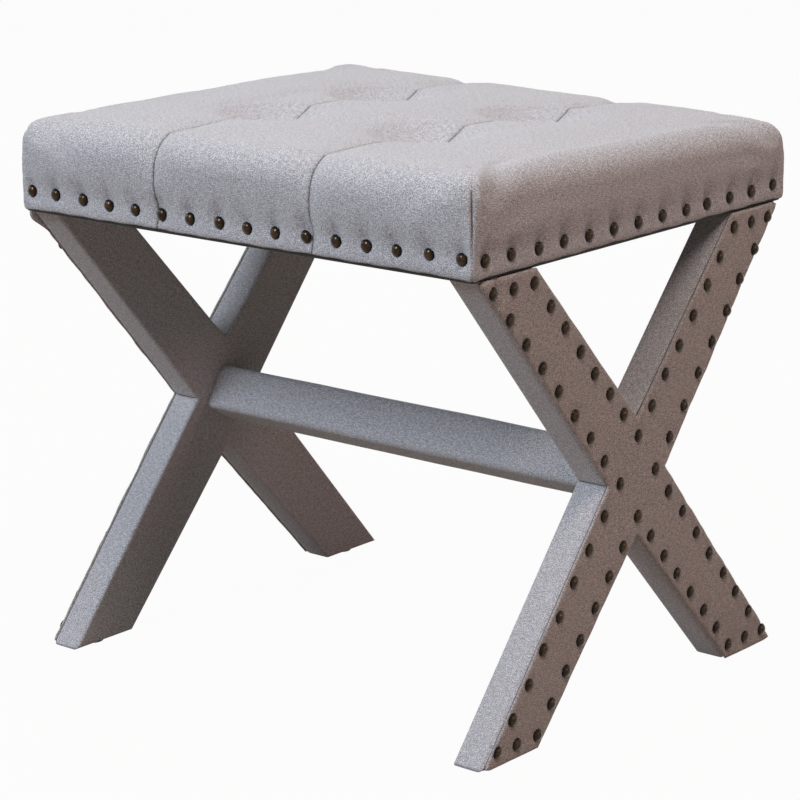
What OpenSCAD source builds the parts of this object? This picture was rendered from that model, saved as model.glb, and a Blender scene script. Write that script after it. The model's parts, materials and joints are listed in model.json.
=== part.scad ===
// Square accent stool: a tufted seat with nail trim, carried on two upholstered
// X frames that one stretcher joins. All sizes are in millimetres.
// The floor is z = 0 and +Z is up. X runs along the stretcher and Y from the
// front of the seat to its back. The origin is on the floor, under the middle
// of the seat.

/* [Leg frames] */
// Distance that a leg frame stands out past the end of the seat's lower edge, or inside it if
// this is negative
frame_out = 0; // [-4:0.5:6]
// Distance of the feet behind the front edge of the seat, and before its back edge
frame_back = 8; // [4:0.5:16]
// Height of a leg frame without its glides
frame_h = 377; // [320:1:450]
// Depth of an arm where it is cut level at the floor and at the seat
arm_end = 67; // [56:1:76]
// Half of the frame's depth at its waist
waist_y = 37.5; // [34:1:46]
// Height of the waist above the soles of the feet
waist_z = 188; // [170:1:210]
// Height from the waist to the fork of the upper arms, and down to the lower fork
fork_z = 48; // [40:1:54]
// Thickness of the timber bars
bar_t = 27; // [20:0.5:30]
// Thickness of the cloth and wadding round the bars
wrap_t = 1.4; // [1:0.1:2.5]
// Thickness of the outer panel that the nails hold
panel_t = 3; // [2:0.5:5]
// Distance that the outer panel stays inside the edge of the frame
panel_in = 1; // [0.5:0.5:3]
// Diameter of a foot glide
glide_d = 18; // [14:1:22]
// Thickness of a foot glide
glide_h = 3; // [2:0.5:6]
// Diameter of the pin that holds a glide
glide_pin_d = 3; // [2:0.5:4]
// Length of the pin that holds a glide
glide_pin_l = 14; // [8:1:20]

/* [Stretcher] */
// Width across the flats of the covered stretcher
stretcher_side = 40; // [38:1:46]
// Radius of the stretcher's long edges
stretcher_edge = 6; // [3:0.5:9]
// Distance of the stretcher's middle below the waist of the leg frames
stretcher_drop = 2; // [0:0.5:5]
// Angle by which the stretcher's front face leans back
stretcher_lean = 32; // [0:1:45]
// Thickness of the cloth and wadding round the stretcher
stretcher_wrap_t = 1.5; // [1:0.1:2.5]
// Diameter of the bolt that holds each end of the stretcher
stretcher_bolt_d = 8; // [6:1:10]
// Length of that bolt under its head
stretcher_bolt_l = 60; // [54:1:70]
// Diameter of the bolt's head
stretcher_head_d = 14; // [13:0.5:18]
// Height of the bolt's head
stretcher_head_h = 5; // [4:0.5:6]
// Diameter of the washer under the bolt's head
washer_d = 21; // [19:0.5:26]
// Thickness of the washer
washer_t = 1.6; // [1:0.1:2]
// Diameter of the cross nut inside the stretcher
cross_nut_d = 14; // [13:0.5:16]
// Length of the cross nut
cross_nut_l = 26; // [20:1:28]
// Distance from the end of the stretcher to the middle of the cross nut
cross_nut_in = 26; // [22:1:30]
// Diameter of a wooden dowel
dowel_d = 7; // [5:0.5:8]
// Length of a wooden dowel
dowel_l = 30; // [24:1:34]
// Depth to which a dowel enters the leg frame
dowel_in = 11; // [6:1:12]
// Distance of a dowel from the middle of the stretcher
dowel_y = 12; // [11:0.5:13]

/* [Seat frame] */
// Width of the seat along its lower edge
seat_w = 476; // [430:1:520]
// Depth of the seat along its lower edge
seat_d = 404; // [384:1:460]
// Height of the rails
rail_h = 30; // [28:1:33]
// Thickness of the front and back rails
long_rail_t = 20; // [16:1:26]
// Thickness of the end rails, which the leg frames are bolted to
end_rail_t = 40; // [34:1:48]
// Radius of the outer corners of the rails and the deck
rail_corner = 4; // [2:0.5:8]
// Thickness of the plywood deck
deck_t = 9; // [6:0.5:12]
// Length of a corner block along each rail
block_l = 32; // [24:1:40]
// Height of a corner block
block_h = 26; // [16:1:28]
// Diameter of the tuft holes through the deck
tuft_hole_d = 8; // [5:0.5:12]
// Distance from the middle of the leg frame's bolts to the outer face of the end rail
leg_bolt_in = 9; // [8.5:0.5:11]
// Distance of the leg frame's bolts from the front or back of the leg frame
leg_bolt_back = 48; // [45:1:54]
// Diameter of the bolts that hold the leg frames
leg_bolt_d = 6; // [5:0.5:7]
// Length of these bolts inside the arm
leg_bolt_down = 34; // [25:1:40]
// Length of these bolts inside the rail
leg_bolt_up = 16; // [12:1:20]
// Outer diameter of the threaded inserts in the end rails
insert_d = 10; // [9:0.5:12]
// Length of the threaded inserts
insert_l = 20; // [14:1:24]
// Diameter of the wood screws
screw_d = 4; // [3:0.5:5]
// Diameter of the screw heads
screw_head_d = 8; // [6:0.5:9]
// Height of the countersunk screw heads
screw_head_h = 2.4; // [1.5:0.1:3]
// Length of the deck screws
deck_screw_l = 28; // [20:1:34]
// Length of the screws that join the rails
rail_screw_l = 50; // [40:1:60]

/* [Seat cushion] */
// Height of the seat at its crown, above the leg frames
seat_h = 79; // [74:1:100]
// Rise of the crown over the rounded edge
crown = 5; // [0:0.5:8]
// Swell of the sides over the nailed hem
side_swell = 3.5; // [2:0.5:9]
// Height of the flat hem that the nails hold down
hem_band = 21; // [18:1:24]
// Radius of the rounded top edge, level
round_out = 24; // [20:1:34]
// Radius of the rounded top edge, upright
round_up = 24; // [18:1:28]
// Corner radius of the seat at the hem
hem_corner = 7; // [7:0.5:12]
// Corner radius of the seat where the top begins
top_corner = 18; // [18:1:36]
// Distance of the two stitched seams from the middle of the seat
seam_x = 82; // [60:1:92]
// Distance of the tufts from the middle of the seat, front to back
tuft_y = 68; // [50:1:84]
// Depth of the valley along a seam
seam_dent = 2; // [0.5:0.5:4]
// Depth of a tuft below its seam's valley
tuft_dent = 15; // [4:0.5:16]
// Half of the width of a seam's valley and of a tuft
valley = 40; // [24:1:44]
// Thickness of the cover cloth
cover_t = 1.2; // [0.8:0.1:1.6]
// Thickness from the outside of the cover to the foam
pad_t = 6.8; // [5:0.1:9]
// Thickness from the outside of the hem to the rails
hem_pad_t = 4; // [3.2:0.1:5]
// Width of the hem that is turned under the rails
hem_turn = 9; // [6:0.5:9]
// Diameter of the tufting twine
twine_d = 1.6; // [1:0.1:2.5]
// Diameter of the washers that hold the twine under the deck
tuft_washer_d = 24; // [18:1:32]
// Thickness of these washers
tuft_washer_t = 3; // [2:0.5:4]
// Diameter of the knots under these washers
knot_d = 4.6; // [3:0.2:6]

/* [Dust cover] */
// Thickness of the dust cover
dust_t = 0.5; // [0.3:0.1:1]
// Distance of the dust cover's edge from the edge of the seat
dust_in = 5; // [4:0.5:7]
// Width of a staple
staple_w = 10; // [8:0.5:13]
// Thickness of the staple wire
staple_t = 0.6; // [0.4:0.1:1]
// Length of the staple legs
staple_l = 6; // [4:0.5:10]
// Distance of the staples from the edge of the dust cover
staple_in = 2.5; // [2:0.5:3.5]
// Distance from staple to staple
staple_gap = 45; // [30:1:70]

/* [Decorative nails] */
// Diameter of a nail head
nail_d = 10.5; // [8:0.5:13]
// Height of a nail head
nail_h = 3.1; // [2.5:0.1:5]
// Diameter of a nail's shank
shank_d = 2; // [1.5:0.1:2.5]
// Length of a nail's shank
shank_l = 10; // [8:0.5:10.5]
// Height of the seat's nails above the lower edge of the hem
seat_nail_z = 15; // [10:0.5:16]
// Distance from nail to nail on the seat
seat_nail_gap = 30; // [18:0.5:45]
// Distance of the front and back rows' end nails from the seat's corners
long_row_in = 11; // [6:0.5:20]
// Distance of the side rows' end nails from the seat's corners
end_row_in = 15; // [12:0.5:24]
// Distance from nail to nail on a leg frame
leg_nail_gap = 28.2; // [18:0.2:45]
// Distance from the waist to its nail
waist_nail_in = 14; // [8:0.5:16]
// Distance from a fork to its nail
fork_nail_in = 15; // [8:0.5:18]
// Distance from the end of an arm to its last nails
arm_nail_in = 11.5; // [8:0.5:20]
// Distance from the front or back of the frame to an outer row's last nail
outer_nail_in = 16; // [12:0.5:22]
// Distance from an arm's inner corner to an inner row's last nail
inner_nail_in = 2.5; // [-2:0.5:10]

/* [Hidden] */

// Clearance round a bolt, pin, dowel or screw in its hole
fit = 0.05;
// Clearance between soft layers
soft_gap = 0.3;
// Clearance round the washer and over the bolt's head in their recess
recess_gap = 1;
// Length by which a cutting shape runs past the face that it cuts
past = 1;
$fn = 32;

frame_t = wrap_t + bar_t + panel_t;
outer_x = seat_w / 2 + frame_out;
frame_y = seat_d / 2 - frame_back;
inner_x = outer_x - frame_t;
bar_x = inner_x + wrap_t;
panel_x = bar_x + bar_t;
seat_z = glide_h + frame_h;
hem_z = seat_z + dust_t;
rail_z = hem_z + cover_t;
deck_z = rail_z + rail_h;
foam_z = deck_z + deck_t;
rail_x = seat_w / 2 - hem_pad_t;
rail_y = seat_d / 2 - hem_pad_t;
end_rail_x = rail_x - end_rail_t;
long_rail_y = rail_y - long_rail_t;
stretcher_z = glide_h + waist_z - stretcher_drop;
leg_bolt_x = rail_x - leg_bolt_in;
leg_bolt_y = frame_y - leg_bolt_back;
foot_y = frame_y - arm_end / 2;
glide_x = bar_x + bar_t / 2;
core_side = stretcher_side - 2 * stretcher_wrap_t;
core_edge = stretcher_edge - stretcher_wrap_t;
head_recess = stretcher_head_h + washer_t + recess_gap;
bolt_tip_x = panel_x - head_recess + washer_t - stretcher_bolt_l;
dowel_tip_x = inner_x + dowel_in - dowel_l;
edge_h = seat_h - crown;
swell_z = seat_z + (hem_band + edge_h - round_up) / 2;
edge_corner = (hem_corner + top_corner) / 2;
swell_corner = (hem_corner + edge_corner) / 2;
// The foam's lower corners are no rounder than covers the corners of the deck
foam_corner = min(
    swell_corner, rail_corner + (side_swell - pad_t + hem_pad_t) / (1 - sqrt(1 / 2))
);
top_x = seat_w / 2 + side_swell - round_out;
top_y = seat_d / 2 + side_swell - round_out;
tuft_rise = crown * (1 - pow(seam_x / top_x, 2)) * (1 - pow(tuft_y / top_y, 2)) - seam_dent - tuft_dent;

wood = "burlywood";
ply = "tan";
steel = "silver";
bronze = "saddlebrown";
linen = "lightgray";
linen_shade = "darkgray";
black_cloth = "dimgray";

// Outlines of a leg frame

// One bar from the top at the front to the foot at the back, as (y, z) points
function bar_outline() = [
    [-frame_y, frame_h], [-waist_y, waist_z], [0, waist_z - fork_z], [frame_y - arm_end, 0],
    [frame_y, 0], [waist_y, waist_z], [0, waist_z + fork_z], [arm_end - frame_y, frame_h]
];
// The bar that crosses it
function cross_outline() =
    let (bar = bar_outline())
    [for (i = [len(bar) - 1:-1:0]) [-bar[i].x, bar[i].y]];
// The whole X
function frame_outline() = [
    [-frame_y, frame_h], [-waist_y, waist_z], [-frame_y, 0], [arm_end - frame_y, 0],
    [0, waist_z - fork_z], [frame_y - arm_end, 0], [frame_y, 0], [waist_y, waist_z],
    [frame_y, frame_h], [frame_y - arm_end, frame_h], [0, waist_z + fork_z], [arm_end - frame_y, frame_h]
];
function unit(v) = v / norm(v);
function left_of(v) = [-v.y, v.x];
// The outline with every edge moved inwards by d
function inset(pts, d) = [
    for (i = [0:len(pts) - 1])
        let (
            here = pts[i],
            u = unit(here - pts[(i + len(pts) - 1) % len(pts)]),
            v = unit(pts[(i + 1) % len(pts)] - here)
        )
        here + d * (left_of(u) + left_of(v)) / (1 + u * v)
];

// Nail rows of a leg frame

function row(from, to, gap) =
    let (n = max(1, round(norm(to - from) / gap)))
    [for (i = [1:n]) from + (to - from) * i / n];
// The nails of one arm, for an arm that runs to side sy and, if sz is 1, up
function arm_nails(sy, sz) =
    let (
        end_z = sz > 0 ? frame_h - arm_nail_in : arm_nail_in,
        outer_end = [sy * (frame_y - outer_nail_in), end_z],
        inner_end = [sy * (frame_y - arm_end + inner_nail_in), end_z],
        waist = [sy * (waist_y - waist_nail_in), waist_z],
        fork = [0, waist_z + sz * (fork_z - fork_nail_in)]
    )
    concat(
        row(waist, outer_end, leg_nail_gap),
        row(fork, inner_end, leg_nail_gap),
        [(outer_end + inner_end) / 2]
    );
function leg_nail_points() = concat(
    [for (s = [-1, 1]) [s * (waist_y - waist_nail_in), waist_z]],
    [for (s = [-1, 1]) [0, waist_z + s * (fork_z - fork_nail_in)]],
    [for (sy = [-1, 1]) for (sz = [-1, 1]) each arm_nails(sy, sz)]
);
// Evenly spaced places from -reach to reach
function spread(reach, gap) =
    let (n = max(1, round(2 * reach / gap)))
    [for (i = [0:n]) -reach + 2 * reach * i / n];

// Soft forms of the seat. Each is a chain of rings between two grids: the outer
// grid is the top, the rings run down the outside, round the lower edge and up
// the inside, and the inner grid is the underside of the top.

function clamp(v, most) = max(-most, min(most, v));
// A point of a rectangle of half sizes a and b, with its corners rounded to r
function ease(q, a, b, r) =
    let (c = [clamp(q.x, a - r), clamp(q.y, b - r)], d = q - c)
    norm(d) == 0 ? q : c + d * max(abs(d.x), abs(d.y)) / norm(d);
// Grid lines from the middle to the edge, close together at the seam and corner
function half_lines(seam, reach, r) = [
    0, seam - valley, seam, seam + valley,
    (seam + valley + reach - r) / 2, reach - r, reach - r / 2, reach
];
function lines(half) = concat([for (i = [len(half) - 1:-1:1]) -half[i]], half);
cells = 2 * (len(half_lines(0, 1, 0)) - 1);
around = 4 * cells;
// Depth of a valley at a distance from its middle, as a share of its full depth
function share(d) = max(0, 1 - abs(d) / valley);
// One ring: half sizes, corner radius, height and the lean of the surface there
function ring(a, b, r, z, lean, dent) =
    let (xs = lines(half_lines(seam_x, a, r)), ys = lines(half_lines(tuft_y, b, r)))
    [
        for (k = [0:around - 1])
            let (
                side = floor(k / cells),
                i = k % cells,
                q = side == 0 ? [xs[i], -b] : side == 1 ? [a, ys[i]] :
                    side == 2 ? [xs[cells - i], b] : [-a, ys[cells - i]],
                p = ease(q, a, b, r),
                cut = side % 2 == 0 ? dent * share(abs(p.x) - seam_x) : 0,
                way = side == 0 ? 1 : -1
            )
            [p.x, p.y + way * cut * cos(lean), z - cut * sin(lean)]
    ];
// A ring on the rounded edge, lean degrees up it and d inside the outer surface
function edge_ring(d, lean) =
    let (
        back = side_swell - round_out * (1 - cos(lean)) - d,
        r = edge_corner + (top_corner - edge_corner) * sin(lean)
    )
    ring(
        seat_w / 2 + back, seat_d / 2 + back, r,
        seat_z + edge_h - round_up * (1 - sin(lean)) - d, lean, seam_dent
    );
// An upright ring: step out from the hem, at height z
function side_ring(out, r, z, dent) = ring(seat_w / 2 + out, seat_d / 2 + out, r, z, 0, dent);
// The grid of the top, d inside the outer surface
function top_grid(d) =
    let (
        a = top_x - d,
        b = top_y - d,
        xs = lines(half_lines(seam_x, a, top_corner)),
        ys = lines(half_lines(tuft_y, b, top_corner))
    )
    [
        for (y = ys) for (x = xs)
            let (
                p = ease([x, y], a, b, top_corner),
                off = [abs(p.x) - seam_x, abs(p.y) - tuft_y],
                rise = crown * (1 - pow(p.x / a, 2)) * (1 - pow(p.y / b, 2)),
                fall = seam_dent * share(off.x) + tuft_dent * share(norm(off))
            )
            [p.x, p.y, seat_z + edge_h - d + rise - fall]
    ];
function cell_index(i, j) = j * (cells + 1) + i;
function border_index(k) =
    let (side = floor(k / cells), i = k % cells)
    side == 0 ? cell_index(i, 0) : side == 1 ? cell_index(cells, i) :
    side == 2 ? cell_index(cells - i, cells) : cell_index(0, cells - i);
function grid_faces(from, up) = [
    for (j = [0:cells - 1]) for (i = [0:cells - 1])
        let (
            a = from + cell_index(i, j), b = from + cell_index(i + 1, j),
            c = from + cell_index(i + 1, j + 1), d = from + cell_index(i, j + 1),
            slant = (i < cells / 2) == (j < cells / 2)
        )
        each slant ?
            (up ? [[a, d, b], [b, d, c]] : [[a, b, d], [b, c, d]]) :
            (up ? [[a, d, c], [a, c, b]] : [[a, b, c], [a, c, d]])
];
// The band from one ring to the next, each given as its points' numbers. Bands
// that go up are split along the same diagonal as those outside that go down.
function band_faces(one, next, up = false) = [
    for (k = [0:around - 1])
        let (n = (k + 1) % around)
        each up ?
            [[one[k], one[n], next[k]], [one[n], next[n], next[k]]] :
            [[one[k], one[n], next[n]], [one[k], next[n], next[k]]]
];
grid_size = (cells + 1) * (cells + 1);
function ring_numbers(m) = [for (k = [0:around - 1]) grid_size + m * around + k];
function border_numbers(from) = [for (k = [0:around - 1]) from + border_index(k)];

// A closed shell from its outer grid, its rings down the outside, its rings up
// the inside and its inner grid
module shell(outer, down, up, inner) {
    rings = concat(down, up);
    count = len(rings);
    turn_at = len(down) - 1;
    inner_from = grid_size + count * around;
    polyhedron(
        points = concat(outer, [for (one = rings) each one], inner),
        faces = concat(
            grid_faces(0, true),
            band_faces(border_numbers(0), ring_numbers(0)),
            [for (m = [0:count - 2]) each band_faces(ring_numbers(m), ring_numbers(m + 1), m > turn_at)],
            band_faces(ring_numbers(count - 1), border_numbers(inner_from), true),
            grid_faces(inner_from, false)
        )
    );
}
// A closed block from its top grid and its rings, flat underneath
module block(outer, rings, base_z) {
    count = len(rings);
    middle = grid_size + count * around;
    last = ring_numbers(count - 1);
    polyhedron(
        points = concat(outer, [for (one = rings) each one], [[0, 0, base_z]]),
        faces = concat(
            grid_faces(0, true),
            band_faces(border_numbers(0), ring_numbers(0)),
            [for (m = [0:count - 2]) each band_faces(ring_numbers(m), ring_numbers(m + 1))],
            [for (k = [0:around - 1]) [last[k], last[(k + 1) % around], middle]]
        )
    );
}

// General shapes

// An upright slab with rounded corners: half sizes a and b, from z0 to z1
module slab(a, b, r, z0, z1) {
    translate([0, 0, z0]) linear_extrude(z1 - z0) {
        square([2 * (a - r), 2 * b], center = true);
        square([2 * a, 2 * (b - r)], center = true);
        for (x = [r - a, a - r], y = [r - b, b - r]) translate([x, y]) circle(r);
    }
}
// A bar of square section with rounded edges, along X from -half to half
module long_bar(side, r, half) {
    rotate([90, 0, 90]) translate([0, 0, -half]) linear_extrude(2 * half) {
        square([side - 2 * r, side], center = true);
        square([side, side - 2 * r], center = true);
        for (x = [-1, 1], y = [-1, 1]) translate([x, y] * (side / 2 - r)) circle(r);
    }
}
// A plate in the YZ plane from x to x + t, with its outline set on the glides
module plate(x, t, pts) {
    translate([x, 0, glide_h]) rotate([90, 0, 90]) linear_extrude(t) polygon(pts);
}
// A round rod that runs along X from x to x + l
module rod_x(d, x, l) {
    translate([x, 0, 0]) rotate([0, 90, 0]) cylinder(h = l, d = d);
}
// A domed nail that stands on z = 0 with its shank below
module nail() {
    r = (pow(nail_d / 2, 2) + pow(nail_h, 2)) / (2 * nail_h);
    rotate_extrude() {
        intersection() {
            translate([0, nail_h - r]) circle(r);
            square([nail_d / 2, nail_h]);
        }
        translate([0, -shank_l]) square([shank_d / 2, shank_l]);
    }
}
// A countersunk screw with the top of its head at z = 0, pointing down
module screw(l) {
    rotate_extrude() polygon([
        [0, 0], [screw_head_d / 2, 0], [screw_d / 2, -screw_head_h], [screw_d / 2, -l], [0, -l]
    ]);
}
// The hole for such a screw
module screw_hole(l) {
    rotate_extrude() polygon([
        [0, past], [screw_head_d / 2 + fit, past], [screw_head_d / 2 + fit, 0],
        [screw_d / 2 + fit, -screw_head_h], [screw_d / 2 + fit, -l - fit], [0, -l - fit]
    ]);
}
// A staple whose crown lies along X just below z = 0, with its legs pointing up
module staple() {
    translate([-staple_w / 2, -staple_t / 2, -staple_t]) cube([staple_w, staple_t, staple_t]);
    for (x = [-staple_w / 2, staple_w / 2 - staple_t]) {
        translate([x, -staple_t / 2, -staple_t]) cube([staple_t, staple_t, staple_l + staple_t]);
    }
}
module both_ends() {
    children();
    mirror([1, 0, 0]) children();
}

// Places that several pieces share

module at_leg_bolts() {
    for (x = [-leg_bolt_x, leg_bolt_x], y = [-leg_bolt_y, leg_bolt_y]) translate([x, y, seat_z]) children();
}
module at_tufts() {
    for (x = [-seam_x, seam_x], y = [-tuft_y, tuft_y]) translate([x, y, 0]) children();
}
module at_deck_screws() {
    long_y = rail_y - long_rail_t / 2;
    end_x = rail_x - end_rail_t / 2;
    for (x = [-1:1], y = [-long_y, long_y]) translate([x * end_rail_x / 2, y, foam_z]) children();
    for (x = [-end_x, end_x], y = [-1:1]) translate([x, y * long_rail_y / 2, foam_z]) children();
}
// The screws through the front and back rails, pointing inwards along Y
module at_rail_screws() {
    for (x = [-1, 1], s = [-1, 1], z = [1, 2]) {
        translate([x * (rail_x - end_rail_t / 2), s * rail_y, rail_z + z * rail_h / 3]) {
            rotate([-90 * s, 0, 0]) children();
        }
    }
}
module stretcher_frame() {
    translate([0, 0, stretcher_z]) rotate([-stretcher_lean, 0, 0]) children();
}
module at_dowels() {
    stretcher_frame() for (y = [-dowel_y, dowel_y]) translate([0, y, 0]) children();
}
module at_glides(x) {
    for (y = [-foot_y, foot_y]) translate([x, y, 0]) children();
}

// Seat

module seat_cover() {
    color(linen) shell(
        top_grid(0),
        [
            edge_ring(0, 60), edge_ring(0, 30), edge_ring(0, 0),
            side_ring(side_swell, swell_corner, swell_z, seam_dent),
            side_ring(0, hem_corner, seat_z + hem_band, 0),
            side_ring(0, hem_corner, hem_z, 0),
            side_ring(-hem_turn, hem_corner, hem_z, 0)
        ],
        [
            side_ring(-hem_turn, hem_corner, rail_z, 0),
            side_ring(-cover_t, hem_corner, rail_z, 0),
            side_ring(-cover_t, hem_corner, seat_z + hem_band, 0),
            side_ring(side_swell - cover_t, swell_corner, swell_z, seam_dent),
            edge_ring(cover_t, 0), edge_ring(cover_t, 30), edge_ring(cover_t, 60)
        ],
        top_grid(cover_t)
    );
}
module seat_batting() {
    out_d = cover_t + soft_gap;
    in_d = pad_t - soft_gap;
    wall = soft_gap - hem_pad_t;
    wall_corner = rail_corner + soft_gap;
    color("white") shell(
        top_grid(out_d),
        [
            edge_ring(out_d, 60), edge_ring(out_d, 30), edge_ring(out_d, 0),
            side_ring(side_swell - out_d, swell_corner, swell_z, seam_dent),
            side_ring(-out_d, hem_corner, seat_z + hem_band, 0),
            side_ring(-out_d, hem_corner, rail_z + soft_gap, 0)
        ],
        [
            side_ring(wall, wall_corner, rail_z + soft_gap, 0),
            side_ring(wall, wall_corner, foam_z - soft_gap, 0),
            side_ring(side_swell - in_d, foam_corner, foam_z - soft_gap, seam_dent),
            edge_ring(in_d, 30), edge_ring(in_d, 60)
        ],
        top_grid(in_d)
    );
}
module seat_foam() {
    color("lightyellow") block(
        top_grid(pad_t),
        [
            edge_ring(pad_t, 60), edge_ring(pad_t, 30),
            side_ring(side_swell - pad_t, foam_corner, foam_z, seam_dent)
        ],
        foam_z
    );
}
module seat_deck() {
    color(ply) difference() {
        slab(rail_x, rail_y, rail_corner, deck_z, foam_z);
        at_tufts() translate([0, 0, deck_z - past]) cylinder(h = deck_t + 2 * past, d = tuft_hole_d);
        at_deck_screws() screw_hole(deck_screw_l);
    }
}
module long_rail(s) {
    color(wood) difference() {
        intersection() {
            slab(rail_x, rail_y, rail_corner, rail_z, deck_z);
            translate([-rail_x, s > 0 ? long_rail_y : -rail_y, rail_z]) {
                cube([2 * rail_x, long_rail_t, rail_h]);
            }
        }
        at_deck_screws() screw_hole(deck_screw_l);
        at_rail_screws() screw_hole(rail_screw_l);
    }
}
module end_rail(s) {
    color(wood) difference() {
        translate([s > 0 ? end_rail_x : -rail_x, -long_rail_y, rail_z]) {
            cube([end_rail_t, 2 * long_rail_y, rail_h]);
        }
        at_deck_screws() screw_hole(deck_screw_l);
        at_rail_screws() screw_hole(rail_screw_l);
        at_leg_bolts() cylinder(h = rail_z - seat_z + insert_l + fit, d = insert_d + 2 * fit);
    }
}
module corner_blocks() {
    color(wood) for (x = [-1, 1], y = [-1, 1]) {
        translate([x * end_rail_x, y * long_rail_y, deck_z - block_h]) linear_extrude(block_h) {
            polygon([[0, 0], [-x * block_l, 0], [0, -y * block_l]]);
        }
    }
}
module rail_screws() {
    color(steel) at_rail_screws() screw(rail_screw_l);
}
module deck_screws() {
    color(steel) at_deck_screws() screw(deck_screw_l);
}
module insert_nuts() {
    color(steel) at_leg_bolts() translate([0, 0, rail_z - seat_z]) difference() {
        cylinder(h = insert_l, d = insert_d);
        translate([0, 0, -past]) cylinder(h = insert_l + 2 * past, d = leg_bolt_d + 2 * fit);
    }
}
module tuft_twine() {
    top = seat_z + edge_h + tuft_rise - cover_t / 2;
    knot_z = deck_z - tuft_washer_t - knot_d / 2;
    color("ivory") at_tufts() translate([0, 0, knot_z]) {
        cylinder(h = top - knot_z, d = twine_d);
        sphere(d = knot_d);
    }
}
module tuft_washers() {
    color(black_cloth) at_tufts() translate([0, 0, deck_z - tuft_washer_t]) difference() {
        cylinder(h = tuft_washer_t, d = tuft_washer_d);
        translate([0, 0, -past]) cylinder(h = tuft_washer_t + 2 * past, d = twine_d + 2 * fit);
    }
}
module dust_cover() {
    color(black_cloth) difference() {
        slab(seat_w / 2 - dust_in, seat_d / 2 - dust_in, rail_corner, seat_z, hem_z);
        at_leg_bolts() translate([0, 0, -past]) cylinder(h = dust_t + 2 * past, d = leg_bolt_d + 2 * fit);
    }
}
module dust_staples() {
    x_line = seat_w / 2 - dust_in - staple_in;
    y_line = seat_d / 2 - dust_in - staple_in;
    color(steel) translate([0, 0, seat_z]) {
        for (x = spread(inner_x - staple_w, staple_gap), y = [-y_line, y_line]) translate([x, y, 0]) staple();
        for (y = spread(frame_y - arm_end - staple_w, staple_gap), x = [-x_line, x_line]) {
            translate([x, y, 0]) rotate([0, 0, 90]) staple();
        }
    }
}
// The nails of one long side: s is -1 at the front and 1 at the back
module long_nails(s) {
    color(bronze) for (x = spread(seat_w / 2 - long_row_in, seat_nail_gap)) {
        translate([x, s * seat_d / 2, hem_z + seat_nail_z]) rotate([-90 * s, 0, 0]) nail();
    }
}
// The nails of one end: s is -1 at the left and 1 at the right
module end_nails(s) {
    color(bronze) for (y = spread(seat_d / 2 - end_row_in, seat_nail_gap)) {
        translate([s * seat_w / 2, y, hem_z + seat_nail_z]) rotate([0, 90 * s, 0]) nail();
    }
}

// Leg frame on the right; the left one is its mirror image

module bolt_holes() {
    at_leg_bolts() translate([0, 0, -leg_bolt_down - fit]) {
        cylinder(h = leg_bolt_down + past, d = leg_bolt_d + 2 * fit);
    }
    at_glides(glide_x) cylinder(h = glide_h + glide_pin_l + fit, d = glide_pin_d + 2 * fit);
    translate([0, 0, stretcher_z]) rod_x(stretcher_bolt_d + 2 * fit, inner_x - past, frame_t);
    at_dowels() rod_x(dowel_d + 2 * fit, inner_x - past, past + dowel_in + fit);
}
// The bar from the top at the front to the foot at the back: whole on its inner half
module bar_a() {
    color(wood) difference() {
        plate(bar_x, bar_t, inset(bar_outline(), wrap_t));
        plate(bar_x + bar_t / 2, bar_t, inset(cross_outline(), wrap_t));
        bolt_holes();
    }
}
// The bar that crosses it: whole on its outer half, which holds the bolt's head
module bar_b() {
    color(wood) difference() {
        plate(bar_x, bar_t, inset(cross_outline(), wrap_t));
        plate(bar_x - bar_t / 2, bar_t, inset(bar_outline(), wrap_t));
        bolt_holes();
        translate([0, 0, stretcher_z]) {
            rod_x(washer_d + recess_gap, panel_x - head_recess, head_recess + past);
        }
    }
}
module leg_wrap() {
    color(linen_shade) difference() {
        plate(inner_x, wrap_t + bar_t, frame_outline());
        plate(bar_x, bar_t + past, inset(frame_outline(), wrap_t));
        bolt_holes();
    }
}
module leg_panel() {
    color(linen) plate(panel_x, panel_t, inset(frame_outline(), panel_in));
}
module leg_nails() {
    color(bronze) for (p = leg_nail_points()) {
        translate([outer_x, p.x, glide_h + p.y]) rotate([0, 90, 0]) nail();
    }
}
module leg_glides() {
    color(black_cloth) at_glides(glide_x) {
        cylinder(h = glide_h, d = glide_d);
        cylinder(h = glide_h + glide_pin_l, d = glide_pin_d);
    }
}
module leg_bolts() {
    color(steel) at_leg_bolts() translate([0, 0, -leg_bolt_down]) {
        cylinder(h = leg_bolt_down + rail_z - seat_z + leg_bolt_up, d = leg_bolt_d);
    }
}

// Stretcher

module stretcher_core() {
    color(wood) difference() {
        stretcher_frame() long_bar(core_side, core_edge, inner_x);
        both_ends() {
            translate([0, 0, stretcher_z]) {
                rod_x(stretcher_bolt_d + 2 * fit, bolt_tip_x - past, inner_x - bolt_tip_x + 2 * past);
            }
            stretcher_frame() translate([inner_x - cross_nut_in, 0, -core_side / 2 - past]) {
                cylinder(h = (core_side + cross_nut_l) / 2 + past + fit, d = cross_nut_d + 2 * fit);
            }
            at_dowels() rod_x(dowel_d + 2 * fit, dowel_tip_x - fit, inner_x - dowel_tip_x + past);
        }
    }
}
module stretcher_wrap() {
    color(linen_shade) difference() {
        stretcher_frame() long_bar(stretcher_side, stretcher_edge, inner_x);
        stretcher_frame() long_bar(core_side, core_edge, inner_x + past);
    }
}
module stretcher_dowels() {
    color(wood) both_ends() at_dowels() rod_x(dowel_d, dowel_tip_x, dowel_l);
}
module stretcher_bolts() {
    color(steel) both_ends() translate([0, 0, stretcher_z]) {
        rod_x(stretcher_bolt_d, bolt_tip_x, stretcher_bolt_l);
        rod_x(stretcher_head_d, bolt_tip_x + stretcher_bolt_l, stretcher_head_h);
    }
}
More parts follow.
